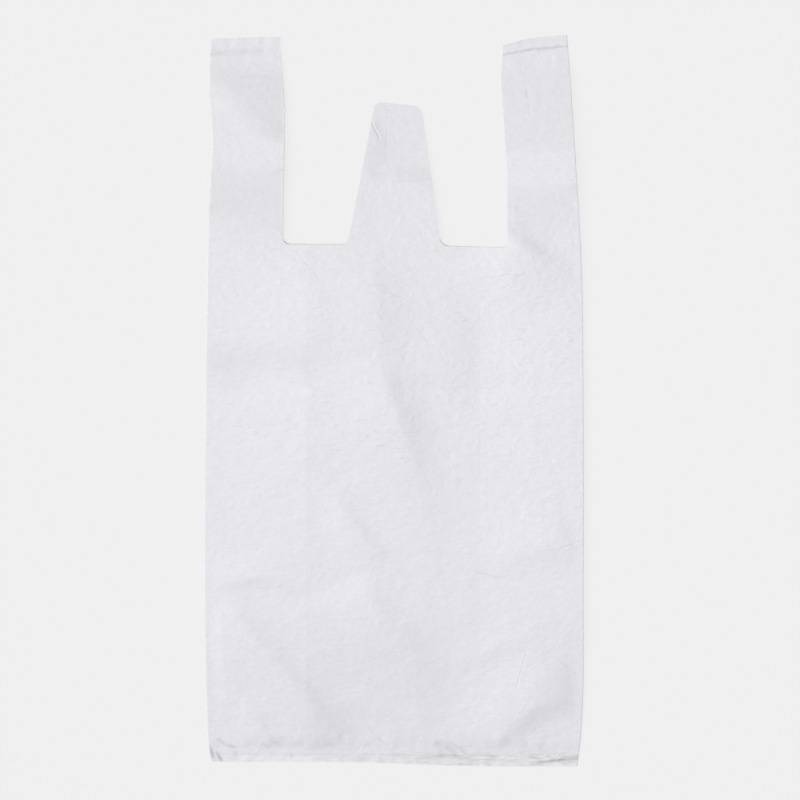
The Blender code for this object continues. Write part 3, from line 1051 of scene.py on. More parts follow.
@dataclass
class CarrierFilm:
    """The whole bag of one film: folded tube, soft folds, welds and die cut.

    Attributes:
        outline: its plan.
        air: its heights.
        stack: its layers.
        film: its material.
        folds: soft folds of its front panel.
        ripples: uneven waves of its front panel.
        front_pieces: straight pieces across the front panel.
        edge_column: width of the narrow piece beside each outer fold, which keeps the fold crisp.
        gusset_pieces: the same across each gusset layer.
        back_pieces: the same across each half of the back panel.
        fold_pieces: the same round each fold.
        row_length: length of the body's pieces along the bag.
        end_rows: pieces along the loose ends, bottom and top.
        weld_rows: pieces along a weld.
        ease_rows: pieces along the film beside a weld.
        room_margin: soft folds die out over this distance from the outer folds and the welds.
        pucker_reach: distance from a weld over which its puckers die out.
        pucker_start: half-lengths of a weld within which they grow.
        draw: how far the loft draws the front's cut edges back from the back's.
        draw_levels: heights above the table between which an edge is drawn back.
        draw_reach: distance below the mouth over which that starts.
        steep_roundness: 2 makes a soft fold's crest round, and less keeps its steep side sharper.
        die_depth: height of the die.
        arc_steps: straight pieces in a rounded corner of the die cut.
        sharp_angle: edges sharper than this aren't smoothed.
    """

    outline: BagOutline
    air: AirInside
    stack: FilmStack
    film: bpy.types.Material
    folds: tuple[SoftFold, ...]
    ripples: tuple[Ripple, ...]
    front_pieces: int = 134
    edge_column: float = 0.0004
    gusset_pieces: int = 4
    back_pieces: int = 6
    fold_pieces: int = 5
    row_length: float = 0.00212
    end_rows: tuple[int, int] = (4, 5)
    weld_rows: int = 3
    ease_rows: int = 6
    room_margin: float = 0.014
    pucker_reach: float = 0.020
    pucker_start: float = 3
    draw: float = 0.0007
    draw_levels: PlanPoint = (2.0 * MM, 3.5 * MM)
    draw_reach: float = 0.05
    steep_roundness: float = 1.7
    die_depth: float = 0.03
    arc_steps: int = 9
    sharp_angle: float = np.radians(60)

    def build(self) -> bpy.types.Object:
        """Builds and dresses the film.

        Returns:
            The finished object.
        """
        bag = add_object("folded_tube", self._tube_mesh())
        crests = self._add_folds(bag)
        values = {"Floor Ease": self.stack.floor_ease, "Film": self.film}
        for ripple in self.ripples:
            values[f"{ripple.name} Height"] = ripple.height
            values[f"{ripple.name} Density"] = (1 / ripple.lengths[0], 1 / ripple.lengths[1], 0.0)
            values[f"{ripple.name} Seed"] = ripple.seed
        add_tree_modifier(bag, "settle", settle_film_tree(self.ripples), values)
        wall = bag.modifiers.new("film_wall", "SOLIDIFY")
        wall.thickness = self.stack.film
        wall.offset = 0.0
        wall.use_even_offset = True
        helpers = [self._weld(height) for height in (self.outline.bottom_weld, self.outline.top_weld)]
        for helper in helpers:
            self._add_boolean(bag, "UNION", helper)
        helpers.append(self._die())
        self._add_boolean(bag, "DIFFERENCE", helpers[-1])
        film = make_plain(bag, "carrier_film")
        for helper in (*helpers, *crests):
            bpy.data.objects.remove(helper)
        self._draw_back(film.data)
        self._clean(film.data)
        LOG.info("carrier_film: %d faces", len(film.data.polygons))
        return film

    def _row_heights(self) -> np.ndarray:
        """Heights of the tube's rows, closer together at the welds."""
        line = self.outline
        half, ease = line.weld_half + self.stack.row_gap, self.stack.weld_ease
        body_low, body_high = line.bottom_weld + ease, line.top_weld - ease
        stretches = (
            (line.bottom_weld - half, self.end_rows[0]),
            (line.bottom_weld + half, self.weld_rows),
            (body_low, self.ease_rows),
            (body_high, round((body_high - body_low) / self.row_length) - 1),
            (line.top_weld - half, self.ease_rows),
            (line.top_weld + half, self.weld_rows),
            (line.top, self.end_rows[1]),
        )
        rows = [np.array([line.bottom])]
        for end, pieces in stretches:
            rows.append(np.linspace(rows[-1][-1], end, pieces + 1)[1:])
        return np.concatenate(rows)

    def _film_height(self, layer: Layer, x: np.ndarray, height: float) -> np.ndarray:
        """Middle of one layer's film before the front panel's loft and folds.

        Args:
            layer: which layer.
            x: places across the bag.
            height: height up the square bag.

        Returns:
            Z at each place.
        """
        ply = self.stack.ply_at(self.outline, x, height)
        table = np.full_like(x, self.stack.film / 2)
        if layer is Layer.BACK:
            return table
        if layer is Layer.GUSSET_BACK:
            return table + ply
        arch, ajar = self.air.arch_at(x, height), self.air.ajar_at(self.outline, x, height)
        if layer is Layer.GUSSET_FRONT:
            return table + 2 * ply + arch + ajar
        layers = self.stack.layers_at(self.outline, x)
        lift = arch * smooth_step(np.abs(x), self.air.tab_half, self.air.arch_start)
        return table + layers * ply + lift + ajar

    def _resting_height(self, layer: Layer, x: np.ndarray, height: float) -> np.ndarray:
        """Middle of one layer's film where nothing lifts it off the layer below."""
        ease = self.stack.floor_ease / 2 if layer is Layer.FRONT else 0.0
        return self._film_height(layer, x, height) + ease

    def _section(self, height: float) -> tuple[np.ndarray, np.ndarray, np.ndarray]:
        """The ring of points round the tube at one height, from the back panel's middle.

        Args:
            height: height up the square bag.

        Returns:
            X, Z and 1 on the front panel or 0 elsewhere, for each point.
        """
        line, reach = self.outline, self.stack.fold_reach
        left, right = line.sides(height)
        left_in, right_in = left + reach, right - reach
        left_deep, right_deep = line.left_gusset - reach, line.right_gusset + reach
        back, low, high, front = Layer.BACK, Layer.GUSSET_BACK, Layer.GUSSET_FRONT, Layer.FRONT
        runs = (
            (back, 0.0, left_in, self.back_pieces, left, low),
            (low, left_in, left_deep, self.gusset_pieces, line.left_gusset, high),
            (high, left_deep, left_in, self.gusset_pieces, left, front),
            (front, left_in, right_in, self.front_pieces, right, high),
            (high, right_in, right_deep, self.gusset_pieces, line.right_gusset, low),
            (low, right_deep, right_in, self.gusset_pieces, right, back),
            (back, right_in, 0.0, self.back_pieces, None, None),
        )
        xs, zs, fronts = [], [], []
        for layer, start, end, pieces, tip, next_layer in runs:
            x = np.linspace(start, end, pieces + 1)
            if layer is front:
                x = np.insert(x, (1, pieces), (start + self.edge_column, end - self.edge_column))
            z = self._resting_height(layer, x, height)
            if tip is None:
                x, z = x[:-1], z[:-1]
            xs.append(x)
            zs.append(z)
            fronts.append(np.full(len(x), float(layer is front)))
            if tip is not None:
                turn = np.linspace(0.0, np.pi, self.fold_pieces + 1)[1:-1]
                after = self._resting_height(next_layer, x[-1:], height)[0]
                xs.append(end + (tip - end) * np.sin(turn))
                zs.append((z[-1] + after) / 2 + (z[-1] - after) / 2 * np.cos(turn))
                fronts.append(np.zeros(len(turn)))
        return np.concatenate(xs), np.concatenate(zs), np.concatenate(fronts)

    def _tube_mesh(self) -> bpy.types.Mesh:
        """The folded tube as one surface, with the attributes that the trees read."""
        heights = self._row_heights()
        rings = [self._section(height) for height in heights]
        x, z, front = (np.array([ring[part] for ring in rings]) for part in range(3))
        readers = (
            self.outline.slanted,
            partial(self._film_height, Layer.FRONT),
            partial(self.air.loft_at, self.outline, self.stack),
            self._room,
            self._weld_near,
        )
        y, floor, loft, room, weld_near = (
            np.array([read(row, height) for height, row in zip(heights, x)]) for read in readers
        )
        rows, columns = x.shape
        corner = np.arange(rows * columns).reshape(rows, columns)
        beside = np.roll(corner, -1, axis=1)
        quads = np.stack((corner[:-1], beside[:-1], beside[1:], corner[1:]), axis=-1).reshape(-1, 4)
        mesh = bpy.data.meshes.new("folded_tube")
        mesh.from_pydata(np.stack((x, y, z), axis=-1).reshape(-1, 3), [], quads.tolist())
        for name, values in zip(FIELDS, (np.zeros_like(x), front, floor, loft, room, weld_near)):
            attribute = mesh.attributes.new(name, "FLOAT", "POINT")
            attribute.data.foreach_set("value", values.ravel().astype(np.float32))
        return mesh

    def _side_share(self, x: np.ndarray, height: float, margin: float) -> np.ndarray:
        """A rise from 0 at the outer folds to 1 past this margin from them."""
        left, right = self.outline.sides(height)
        return smooth_step(np.minimum(x - left, right - x), 0.0, margin)

    def _room(self, x: np.ndarray, height: float) -> np.ndarray:
        """Share of a soft fold that fits at each place: none at the outer folds and the welds."""
        half = self.outline.weld_half + self.stack.row_gap
        side = self._side_share(x, height, self.room_margin)
        return side * smooth_step(self.outline.weld_distance(height), half, self.room_margin)

    def _weld_near(self, x: np.ndarray, height: float) -> np.ndarray:
        """Share of a weld's puckers at each place: most beside the weld, none on it."""
        half = self.outline.weld_half + self.stack.row_gap
        away, full = self.outline.weld_distance(height), self.pucker_start * half
        near = smooth_step(away, half, full) * (1.0 - smooth_step(away, full, self.pucker_reach))
        return near * self._side_share(x, height, self.room_margin / 2)

    def _add_folds(self, bag: bpy.types.Object) -> list[bpy.types.Object]:
        """Adds one modifier for each soft fold.

        Args:
            bag: the folded tube.

        Returns:
            The crest curves that the modifiers read.
        """
        tree = soft_fold_tree()
        crests = []
        for fold in self.folds:
            curve = bpy.data.curves.new(f"crest_{fold.name}", "CURVE")
            curve.dimensions = "3D"
            spline = curve.splines.new("BEZIER")
            spline.bezier_points.add(len(fold.crest) - 1)
            for point, place in zip(spline.bezier_points, fold.crest):
                point.co = Vector(place) * MM
                point.handle_left_type = point.handle_right_type = "AUTO"
            crests.append(add_object(curve.name, curve))
            values = {
                "Crest": crests[-1],
                "Facing": fold.facing.value,
                "Steep Width": fold.steep * MM,
                "Gentle Width": fold.gentle * MM,
                "Steep Roundness": self.steep_roundness,
                "Film": self.film,
            }
            add_tree_modifier(bag, fold.name, tree, values)
        return crests

    def _weld(self, middle: float) -> bpy.types.Object:
        """The melted bar that joins the layers at one weld.

        Args:
            middle: its height up the square bag.

        Returns:
            The bar, from the back panel's middle to the front's.
        """
        line, reach = self.outline, self.stack.fold_reach
        left, right = line.sides(middle)
        x = np.linspace(left + 2 * reach, right - 2 * reach, self.front_pieces + 1)
        bar = bmesh.new()
        rows = []
        for height in (middle - line.weld_half, middle + line.weld_half):
            y = line.slanted(x, height)
            low = np.full_like(x, self.stack.film / 2)
            top = self._resting_height(Layer.FRONT, x, height)
            rows.append([[bar.verts.new(point) for point in zip(x, y, z)] for z in (low, top)])
        (near_low, near_top), (far_low, far_top) = rows
        loop = (near_low, near_top, far_top, far_low)
        for index, side in enumerate(loop):
            following = loop[(index + 1) % len(loop)]
            for place in range(len(x) - 1):
                bar.faces.new((side[place], side[place + 1], following[place + 1], following[place]))
        for place in (0, len(x) - 1):
            bar.faces.new([side[place] for side in loop])
        return self._helper(f"weld_{'bottom' if middle < 0 else 'top'}", bar)

    def _helper(self, name: str, shape: bmesh.types.BMesh) -> bpy.types.Object:
        """An object that only joins or cuts, from a closed shape that is then freed."""
        bmesh.ops.recalc_face_normals(shape, faces=shape.faces)
        mesh = bpy.data.meshes.new(name)
        shape.to_mesh(mesh)
        shape.free()
        return add_object(name, mesh)

    def _add_boolean(self, target: bpy.types.Object, operation: str, other: bpy.types.Object) -> None:
        """Joins another closed shape to the target or cuts it away."""
        modifier = target.modifiers.new(other.name, "BOOLEAN")
        modifier.operation = operation
        modifier.solver = "MANIFOLD"
        modifier.object = other

    def _die(self) -> bpy.types.Object:
        """The die: a prism over the two notches and the space above the tab."""
        outline = self._rounded_outline()
        die = bmesh.new()
        levels = (-self.die_depth / 2, self.die_depth / 2)
        low, high = ([die.verts.new((x, y, z)) for x, y in outline] for z in levels)
        die.faces.new(low)
        die.faces.new(high)
        for index in range(len(outline)):
            after = (index + 1) % len(outline)
            die.faces.new((low[index], low[after], high[after], high[index]))
        bmesh.ops.triangulate(die, faces=[face for face in die.faces if len(face.verts) > 4])
        return self._helper("die", die)

    def _rounded_outline(self) -> list[np.ndarray]:
        """Points of the die cut's outline, with its corners rounded."""
        corners = self.outline.die_cut
        points = []
        for index, (x, y, radius) in enumerate(corners):
            corner = np.array((x, y))
            if not radius:
                points.append(corner)
                continue
            before = np.array(corners[index - 1][:2]) - corner
            after = np.array(corners[(index + 1) % len(corners)][:2]) - corner
            before, after = before / np.linalg.norm(before), after / np.linalg.norm(after)
            reach = radius / np.tan(np.arccos(np.dot(before, after)) / 2)
            middle = before + after
            centre = middle * reach / np.dot(middle, before)
            start, end = before * reach - centre, after * reach - centre
            turn = np.arccos(np.dot(start, end) / np.dot(start, start))
            for share in np.linspace(0.0, 1.0, self.arc_steps + 1):
                first, second = np.sin((1 - share) * turn), np.sin(share * turn)
                points.append(corner + centre + (start * first + end * second) / np.sin(turn))
        return points

    def _draw_back(self, mesh: bpy.types.Mesh) -> None:
        """Moves the front's cut edges down a little, as its loft does on the real bag.

        Args:
            mesh: the cut film, changed in place.
        """
        mouth = self.outline.mouth
        places = np.empty(len(mesh.vertices) * 3, dtype=np.float32)
        mesh.vertices.foreach_get("co", places)
        places = places.reshape(-1, 3)
        lifted = smooth_step(places[:, 2], *self.draw_levels)
        reach = smooth_step(places[:, 1], mouth - self.draw_reach, mouth)
        handles = 1.0 - smooth_step(places[:, 1], *self.air.arch_head)
        places[:, 1] -= self.draw * lifted * reach * handles
        mesh.vertices.foreach_set("co", places.ravel())

    def _clean(self, mesh: bpy.types.Mesh) -> None:
        """Smooths the film's shading and leaves it one material and no working attributes."""
        for name in FIELDS:
            if name in mesh.attributes:
                mesh.attributes.remove(mesh.attributes[name])
        mesh.materials.clear()
        mesh.materials.append(self.film)
        mesh.shade_smooth()
        mesh.set_sharp_from_angle(angle=self.sharp_angle)


@dataclass
class WeldRibs:
    """The fine ribs that the sealing bar's grooves leave along each weld.

    Attributes:
        outline: the bag's plan.
        film: the film's material.
        pitch: from rib to rib, drawn coarser than the real 0.8 mm so that it shows.
        size: a rib's width, length and height.
        edge_gap: bare length at each end of a weld.
        uneven: least and most of its size that a rib has.
        seed: of the ribs' uneven sizes.
        bottom_span: X of the bottom weld's two ends.
        top_spans: the same for each handle's weld.
        line_points: points along each line of ribs.
        start_height: height above the table from which the ribs are let down.
        drop: how far down they can go to meet the film.
    """

    outline: BagOutline
    film: bpy.types.Material
    pitch: float = 1.3 * MM
    size: Point = (0.5 * MM, 2.6 * MM, 0.16 * MM)
    edge_gap: float = 1.5 * MM
    uneven: PlanPoint = (0.75, 1.1)
    seed: int = 7
    bottom_span: PlanPoint = (-0.1375, 0.1382)
    top_spans: tuple[PlanPoint, ...] = ((-0.1380, -0.0860), (0.0815, 0.1300))
    line_points: int = 24
    start_height: float = 0.02
    drop: float = 0.05

    def build(self, film: bpy.types.Object) -> bpy.types.Object:
        """Builds the ribs on the finished film.

        Args:
            film: the film that carries them.

        Returns:
            The finished object.
        """
        curve = bpy.data.curves.new("weld_lines", "CURVE")
        curve.dimensions = "3D"
        lines = [(self.outline.bottom_weld_line, self.bottom_span)]
        lines += [(self.outline.top_weld_line, span) for span in self.top_spans]
        for weld_line, (start, end) in lines:
            x = np.linspace(start + self.edge_gap, end - self.edge_gap, self.line_points)
            spline = curve.splines.new("POLY")
            spline.points.add(len(x) - 1)
            for point, place in zip(spline.points, zip(x, curve_at(weld_line, x))):
                point.co = (*place, self.start_height, 1.0)
        paths = add_object("weld_lines", curve)
        values = {
            "Carrier": film,
            "Drop": self.drop,
            "Pitch": self.pitch,
            "Rib Size": self.size,
            "Least Share": self.uneven[0],
            "Most Share": self.uneven[1],
            "Seed": self.seed,
            "Film": self.film,
        }
        add_tree_modifier(paths, "ribs", press_ribs_tree(), values)
        ribs = make_plain(paths, "weld_ribs")
        LOG.info("weld_ribs: %d faces", len(ribs.data.polygons))
        return ribs


def press_ribs_tree() -> Tree:
    """Builds the tree that sets ribs at an even pitch along the welds, down on the film.

    Returns:
        The tree.
    """
    inputs = {
        "Geometry": "Geometry",
        "Carrier": "Object",
        "Drop": "Float",
        "Pitch": "Float",
        "Rib Size": "Vector",
        "Least Share": "Float",
        "Most Share": "Float",
        "Seed": "Int",
        "Film": "Material",
    }
    tree, given = new_tree("press_ribs", "GeometryNodeTree", inputs, "Geometry")
    spacing = {"Curve": given["Geometry"], "Length": given["Pitch"]}
    points = add_node(tree, "GeometryNodeCurveToPoints", {"mode": "LENGTH"}, spacing)
    carrier = add_node(tree, "GeometryNodeObjectInfo", {}, {"Object": given["Carrier"]})
    ray = {
        "Target Geometry": carrier.outputs["Geometry"],
        "Ray Direction": (0.0, 0.0, -1.0),
        "Ray Length": given["Drop"],
    }
    landing = add_node(tree, "GeometryNodeRaycast", {}, ray)
    target = {"Geometry": points.outputs["Points"], "Position": landing.outputs["Hit Position"]}
    laid = add_node(tree, "GeometryNodeSetPosition", {}, target)
    pebble = add_node(tree, "GeometryNodeMeshUVSphere", {}, {"Segments": 8, "Rings": 5, "Radius": 0.5})
    even = {"Geometry": pebble.outputs["Mesh"], "Shade Smooth": True}
    smooth = add_node(tree, "GeometryNodeSetShadeSmooth", {}, even)
    tangent = {"Vector": points.outputs["Tangent"]}
    turned = add_node(tree, "FunctionNodeAlignRotationToVector", {"axis": "X"}, tangent)
    span = {2: given["Least Share"], 3: given["Most Share"], "Seed": given["Seed"]}
    uneven = add_node(tree, "FunctionNodeRandomValue", {"data_type": "FLOAT"}, span)
    scaled = {0: given["Rib Size"], "Scale": uneven.outputs[1]}
    size = add_node(tree, "ShaderNodeVectorMath", {"operation": "SCALE"}, scaled)
    ribs = add_node(
        tree,
        "GeometryNodeInstanceOnPoints",
        {},
        {
            "Points": laid.outputs[0],
            "Instance": smooth.outputs[0],
            "Rotation": turned.outputs[0],
            "Scale": size.outputs[0],
        },
    )
    finish_tree(tree, given, ribs.outputs[0])
    return tree


def seen_directly(tree: Tree) -> Socket:
    """Adds the test for what the camera sees directly, in a gloss or through a clear piece.

    Args:
        tree: node tree of a material or of the world.

    Returns:
        A socket of 1 for such a ray and 0 for any other.
    """
    rays = add_node(tree, "ShaderNodeLightPath").outputs
    glossy = maths(tree, "MAXIMUM", rays["Is Camera Ray"], rays["Is Glossy Ray"])
    return maths(tree, "MAXIMUM", glossy, rays["Is Transmission Ray"])


@dataclass(frozen=True)
class FloorFinish:
    """Matt pale backdrop paper: even, without gloss, and it keeps a soft shadow.

    Attributes:
        colour: the paper's colour.
        own_light: share of it that the camera sees as light of its own, so that it stays even.
        glow: strength of that light.
    """

    colour: str = "#efefef"
    own_light: float = 0.92
    glow: float = 1.014

    def make(self) -> bpy.types.Material:
        """Builds the material, which shows the camera part of its colour as its own light.

        Returns:
            The backdrop's material.
        """
        material = bpy.data.materials.new("backdrop_paper")
        material.use_nodes = True
        tree = material.node_tree
        tree.nodes.clear()
        paper = {"Color": linear_rgb(self.colour)}
        matt = add_node(tree, "ShaderNodeBsdfDiffuse", {}, paper)
        light = add_node(tree, "ShaderNodeEmission", {}, {**paper, "Strength": self.glow})
        seen = maths(tree, "MULTIPLY", seen_directly(tree), self.own_light)
        mixed = add_node(tree, "ShaderNodeMixShader", {}, {0: seen, 1: matt.outputs[0], 2: light.outputs[0]})
        add_node(tree, "ShaderNodeOutputMaterial", {}, {"Surface": mixed.outputs[0]})
        return material


@dataclass(frozen=True)
class Studio:
    """Backdrop, soft light from the left and a camera straight above.

    Attributes:
        backdrop: the floor's finish.
        floor_half: half the floor's side.
        floor_drop: how far the floor lies below the film.
        fill: strength of the light from all round.
        key_from: the way to the broad light from the left.
        key_strength: its strength in watts for each square metre that faces it.
        key_breadth: the angle that it fills.
        top_place: place of the soft lamp overhead.
        top_size: its side.
        top_power: its power in watts.
        camera_place: middle of the photo's frame, and the camera's height over it.
        lens: focal length in millimetres of a long lens.
        sensor: width of the camera's sensor in millimetres.
    """

    backdrop: FloorFinish = FloorFinish()
    floor_half: float = 4.0
    floor_drop: float = 0.0002
    fill: float = 0.16
    key_from: Point = (-0.62, 0.17, 0.77)
    key_strength: float = 2.57
    key_breadth: float = np.radians(50)
    top_place: Point = (0.0, 0.03, 1.1)
    top_size: float = 0.5
    top_power: float = 1.95
    camera_place: Point = (0.0045, 0.0004, 3.0)
    lens: float = 180.0
    sensor: float = 36.0

    def build(self) -> None:
        """Builds the floor, the world, the lamps and the camera."""
        self._add_floor()
        self._add_world()
        key = bpy.data.lights.new("key_light", "SUN")
        key.energy = self.key_strength
        key.angle = self.key_breadth
        self._add_lamp(key, self.key_from)
        top = bpy.data.lights.new("top_light", "AREA")
        top.size = self.top_size
        top.energy = self.top_power
        self._add_lamp(top, self.top_place)
        self._add_camera()
        bpy.context.scene.view_settings.view_transform = "Standard"

    def _add_floor(self) -> None:
        """Adds the backdrop, just below the film."""
        shape = bmesh.new()
        bmesh.ops.create_grid(shape, x_segments=1, y_segments=1, size=self.floor_half)
        for vert in shape.verts:
            vert.co.z = -self.floor_drop
        mesh = bpy.data.meshes.new("floor")
        shape.to_mesh(mesh)
        shape.free()
        mesh.materials.append(self.backdrop.make())
        floor = add_object("floor", mesh)

    def _add_world(self) -> None:
        """Adds the light from all round, which the camera sees as plain backdrop."""
        world = bpy.data.worlds.new("studio")
        world.use_nodes = True
        tree = world.node_tree
        tree.nodes.clear()
        fill, shown = (
            add_node(tree, "ShaderNodeBackground", {}, {"Color": colour, "Strength": strength}).outputs[0]
            for colour, strength in (
                ((1.0, 1.0, 1.0, 1.0), self.fill),
                (linear_rgb(self.backdrop.colour), 1.0),
            )
        )
        mixed = add_node(tree, "ShaderNodeMixShader", {}, {0: seen_directly(tree), 1: fill, 2: shown})
        add_node(tree, "ShaderNodeOutputWorld", {}, {"Surface": mixed.outputs[0]})
        bpy.context.scene.world = world

    def _add_lamp(self, light: bpy.types.Light, place: Point) -> None:
        """Adds a lamp that shines from this place at the bag's middle."""
        lamp = add_object(light.name, light)
        lamp.location = place
        lamp.rotation_euler = (-Vector(place)).to_track_quat("-Z", "Y").to_euler()

    def _add_camera(self) -> None:
        """Adds the camera, which looks straight down."""
        camera = bpy.data.cameras.new("camera")
        camera.lens = self.lens
        camera.sensor_width = self.sensor
        holder = add_object("camera", camera)
        holder.location = self.camera_place
        bpy.context.scene.camera = holder


FOLDS = (
    SoftFold(
        "long_ridge_head",
        (
            (-19.5, 114.0, 0.2), (-18.3, 98.0, 1.0), (-16.0, 82.9, 1.6), (-13.5, 66.4, 1.8),
            (-12.5, 49.1, 1.6), (-12.0, 36.4, 1.1), (-11.5, 24.4, 0.6), (-11.0, 12.0, 0.1),
        ),
        Facing.RIGHT, 18.0, 50.0,
    ),
    SoftFold(
        "long_ridge",
        (
            (-13.5, 34.0, 0.2), (-11.5, 23.0, 1.0), (-8.0, 10.0, 2.0), (-3.0, -2.0, 2.6),
            (2.5, -15.0, 2.7), (8.0, -33.4, 2.2), (13.5, -52.1, 1.7), (18.5, -70.1, 1.2),
            (21.7, -89.6, 0.8), (23.3, -110.6, 0.5), (24.7, -133.1, 0.2),
        ),
        Facing.RIGHT, 16.0, 55.0,
    ),
    SoftFold(
        "curl",
        (
            (-44.0, -64.0, 0.1), (-40.0, -77.0, 0.6), (-34.0, -90.0, 1.0), (-25.5, -102.5, 1.1),
            (-15.0, -112.5, 0.8), (-3.0, -120.5, 0.2),
        ),
        Facing.UP_RIGHT, 7.5, 16.0,
    ),
    SoftFold(
        "lower_ridge",
        (
            (-27.0, -131.0, 0.1), (-23.0, -141.0, 1.0), (-18.0, -152.0, 1.5), (-11.0, -163.0, 1.7),
            (-2.5, -172.5, 1.7), (6.5, -181.5, 1.5), (14.5, -191.0, 1.2), (21.0, -202.0, 1.0),
            (25.0, -215.0, 0.7), (27.5, -231.0, 0.3),
        ),
        Facing.UP_RIGHT, 13.5, 36.0,
    ),
    SoftFold(
        "foot_ridge",
        ((16.5, -224.6, 0.2), (17.2, -236.6, 0.6), (20.2, -250.1, 0.6), (27.0, -259.1, 0.3)),
        Facing.RIGHT, 10.0, 22.0,
    ),
    SoftFold(
        "left_foot_ridge",
        (
            (-130.0, -146.0, 0.1), (-119.5, -160.1, 1.0), (-109.0, -174.1, 1.5),
            (-99.0, -186.6, 1.8), (-88.5, -198.6, 2.0), (-77.0, -211.1, 2.2), (-67.0, -222.4, 2.2),
            (-57.0, -233.0, 1.9), (-46.0, -243.0, 1.1), (-36.0, -250.0, 0.4), (-28.0, -255.0, 0.1),
        ),
        Facing.UP_RIGHT, 9.5, 40.0,
    ),
    SoftFold(
        "right_foot_ridge",
        (
            (70.5, -263.6, 0.5), (79.5, -253.1, 1.5), (88.5, -242.6, 2.1), (99.0, -232.9, 2.3),
            (109.5, -226.4, 2.3), (121.5, -223.4, 1.6), (132.0, -222.4, 0.7), (139.5, -222.1, 0.1),
        ),
        Facing.DOWN_RIGHT, 11.5, 34.0,
    ),
    SoftFold(
        "right_foot_twig",
        (
            (63.0, -193.1, 0.35), (73.5, -187.1, 0.5), (83.2, -183.4, 0.45), (94.5, -181.1, 0.35),
            (105.0, -178.1, 0.2),
        ),
        Facing.DOWN_RIGHT, 7.0, 14.0,
    ),
    SoftFold(
        "left_arch",
        (
            (-129.0, -136.9, 0.4), (-115.5, -133.9, 0.85), (-102.0, -132.4, 0.95),
            (-89.2, -134.6, 0.75), (-76.5, -142.1, 0.3),
        ),
        Facing.DOWN, 6.0, 16.0,
    ),
    SoftFold(
        "right_shoulder",
        (
            (76.0, 134.0, 0.3), (83.0, 125.5, 1.4), (91.0, 117.0, 2.1), (100.0, 109.5, 2.0),
            (110.0, 102.5, 1.4), (120.0, 95.5, 0.8), (131.0, 87.0, 0.2),
        ),
        Facing.UP_RIGHT, 13.0, 36.0,
    ),
    SoftFold(
        "right_waist",
        (
            (72.0, -116.6, 0.3), (94.5, -112.1, 0.7), (115.5, -108.4, 0.9), (128.2, -108.4, 0.6),
            (139.5, -104.4, 0.1),
        ),
        Facing.DOWN_RIGHT, 13.0, 20.0,
    ),
    SoftFold(
        "left_pack_fold",
        ((-141.0, 10.9, -0.9), (-108.0, 10.5, -1.2), (-68.2, 10.1, -0.9)),
        Facing.UP, 28.0, 5.0,
    ),
    SoftFold(
        "right_pack_fold",
        ((6.0, 9.0, -0.4), (64.5, 9.0, -0.5), (139.5, 8.6, -0.4)),
        Facing.UP, 8.0, 5.0,
    ),
    SoftFold(
        "left_inner_fold",
        ((-66.8, 100.4, 0.2), (-66.8, 69.4, 0.9), (-66.8, -29.6, 0.7), (-66.8, -84.1, 0.2)),
        Facing.RIGHT, 20.0, 45.0,
    ),
    SoftFold(
        "right_inner_fold",
        ((65.2, 75.4, -0.3), (65.2, 52.9, -0.8), (65.2, 11.6, -0.8), (65.2, -10.9, -0.2)),
        Facing.LEFT, 18.0, 30.0,
    ),
    SoftFold(
        "left_corner_pinch",
        ((-136.5, -253.0, -0.8), (-127.5, -256.5, -1.6), (-118.5, -260.6, -1.0)),
        Facing.UP, 4.0, 3.0,
    ),
    SoftFold(
        "left_corner_crumple",
        ((-115.5, -224.6, 0.3), (-106.5, -233.6, 0.7), (-99.0, -245.6, 0.7), (-94.5, -256.1, 0.3)),
        Facing.RIGHT, 6.0, 14.0,
    ),
    SoftFold(
        "foot_arc",
        ((-36.0, -227.6, 0.3), (-27.0, -226.1, 0.6), (-16.5, -229.1, 0.7), (-4.5, -236.6, 0.4)),
        Facing.DOWN, 8.0, 10.0,
    ),
    SoftFold(
        "tab_belt",
        ((-14.0, 163.0, 0.2), (0.0, 161.5, 0.6), (14.0, 161.0, 0.7), (28.0, 162.5, 0.5)),
        Facing.DOWN, 6.0, 18.0,
    ),
    SoftFold(
        "tab_step",
        ((-18.8, 211.9, 0.3), (-15.8, 206.0, 0.5), (-12.8, 199.9, 0.5), (-9.0, 192.4, 0.2)),
        Facing.RIGHT, 3.0, 14.0,
    ),
    SoftFold(
        "tab_side",
        ((-20.5, 204.0, 0.5), (-21.5, 190.0, 1.3), (-24.0, 174.0, 1.2), (-27.0, 156.0, 0.3)),
        Facing.RIGHT, 16.0, 14.0,
    ),
)

RIPPLES = (
    Ripple("Drift", 0.00012, (0.070, 0.085), 3.0, "room"),
    Ripple("Crinkle", 0.00010, (0.016, 0.010), 11.0, "room"),
    Ripple("Pucker", 0.00060, (0.009, 0.030), 17.0, "weld_near"),
)
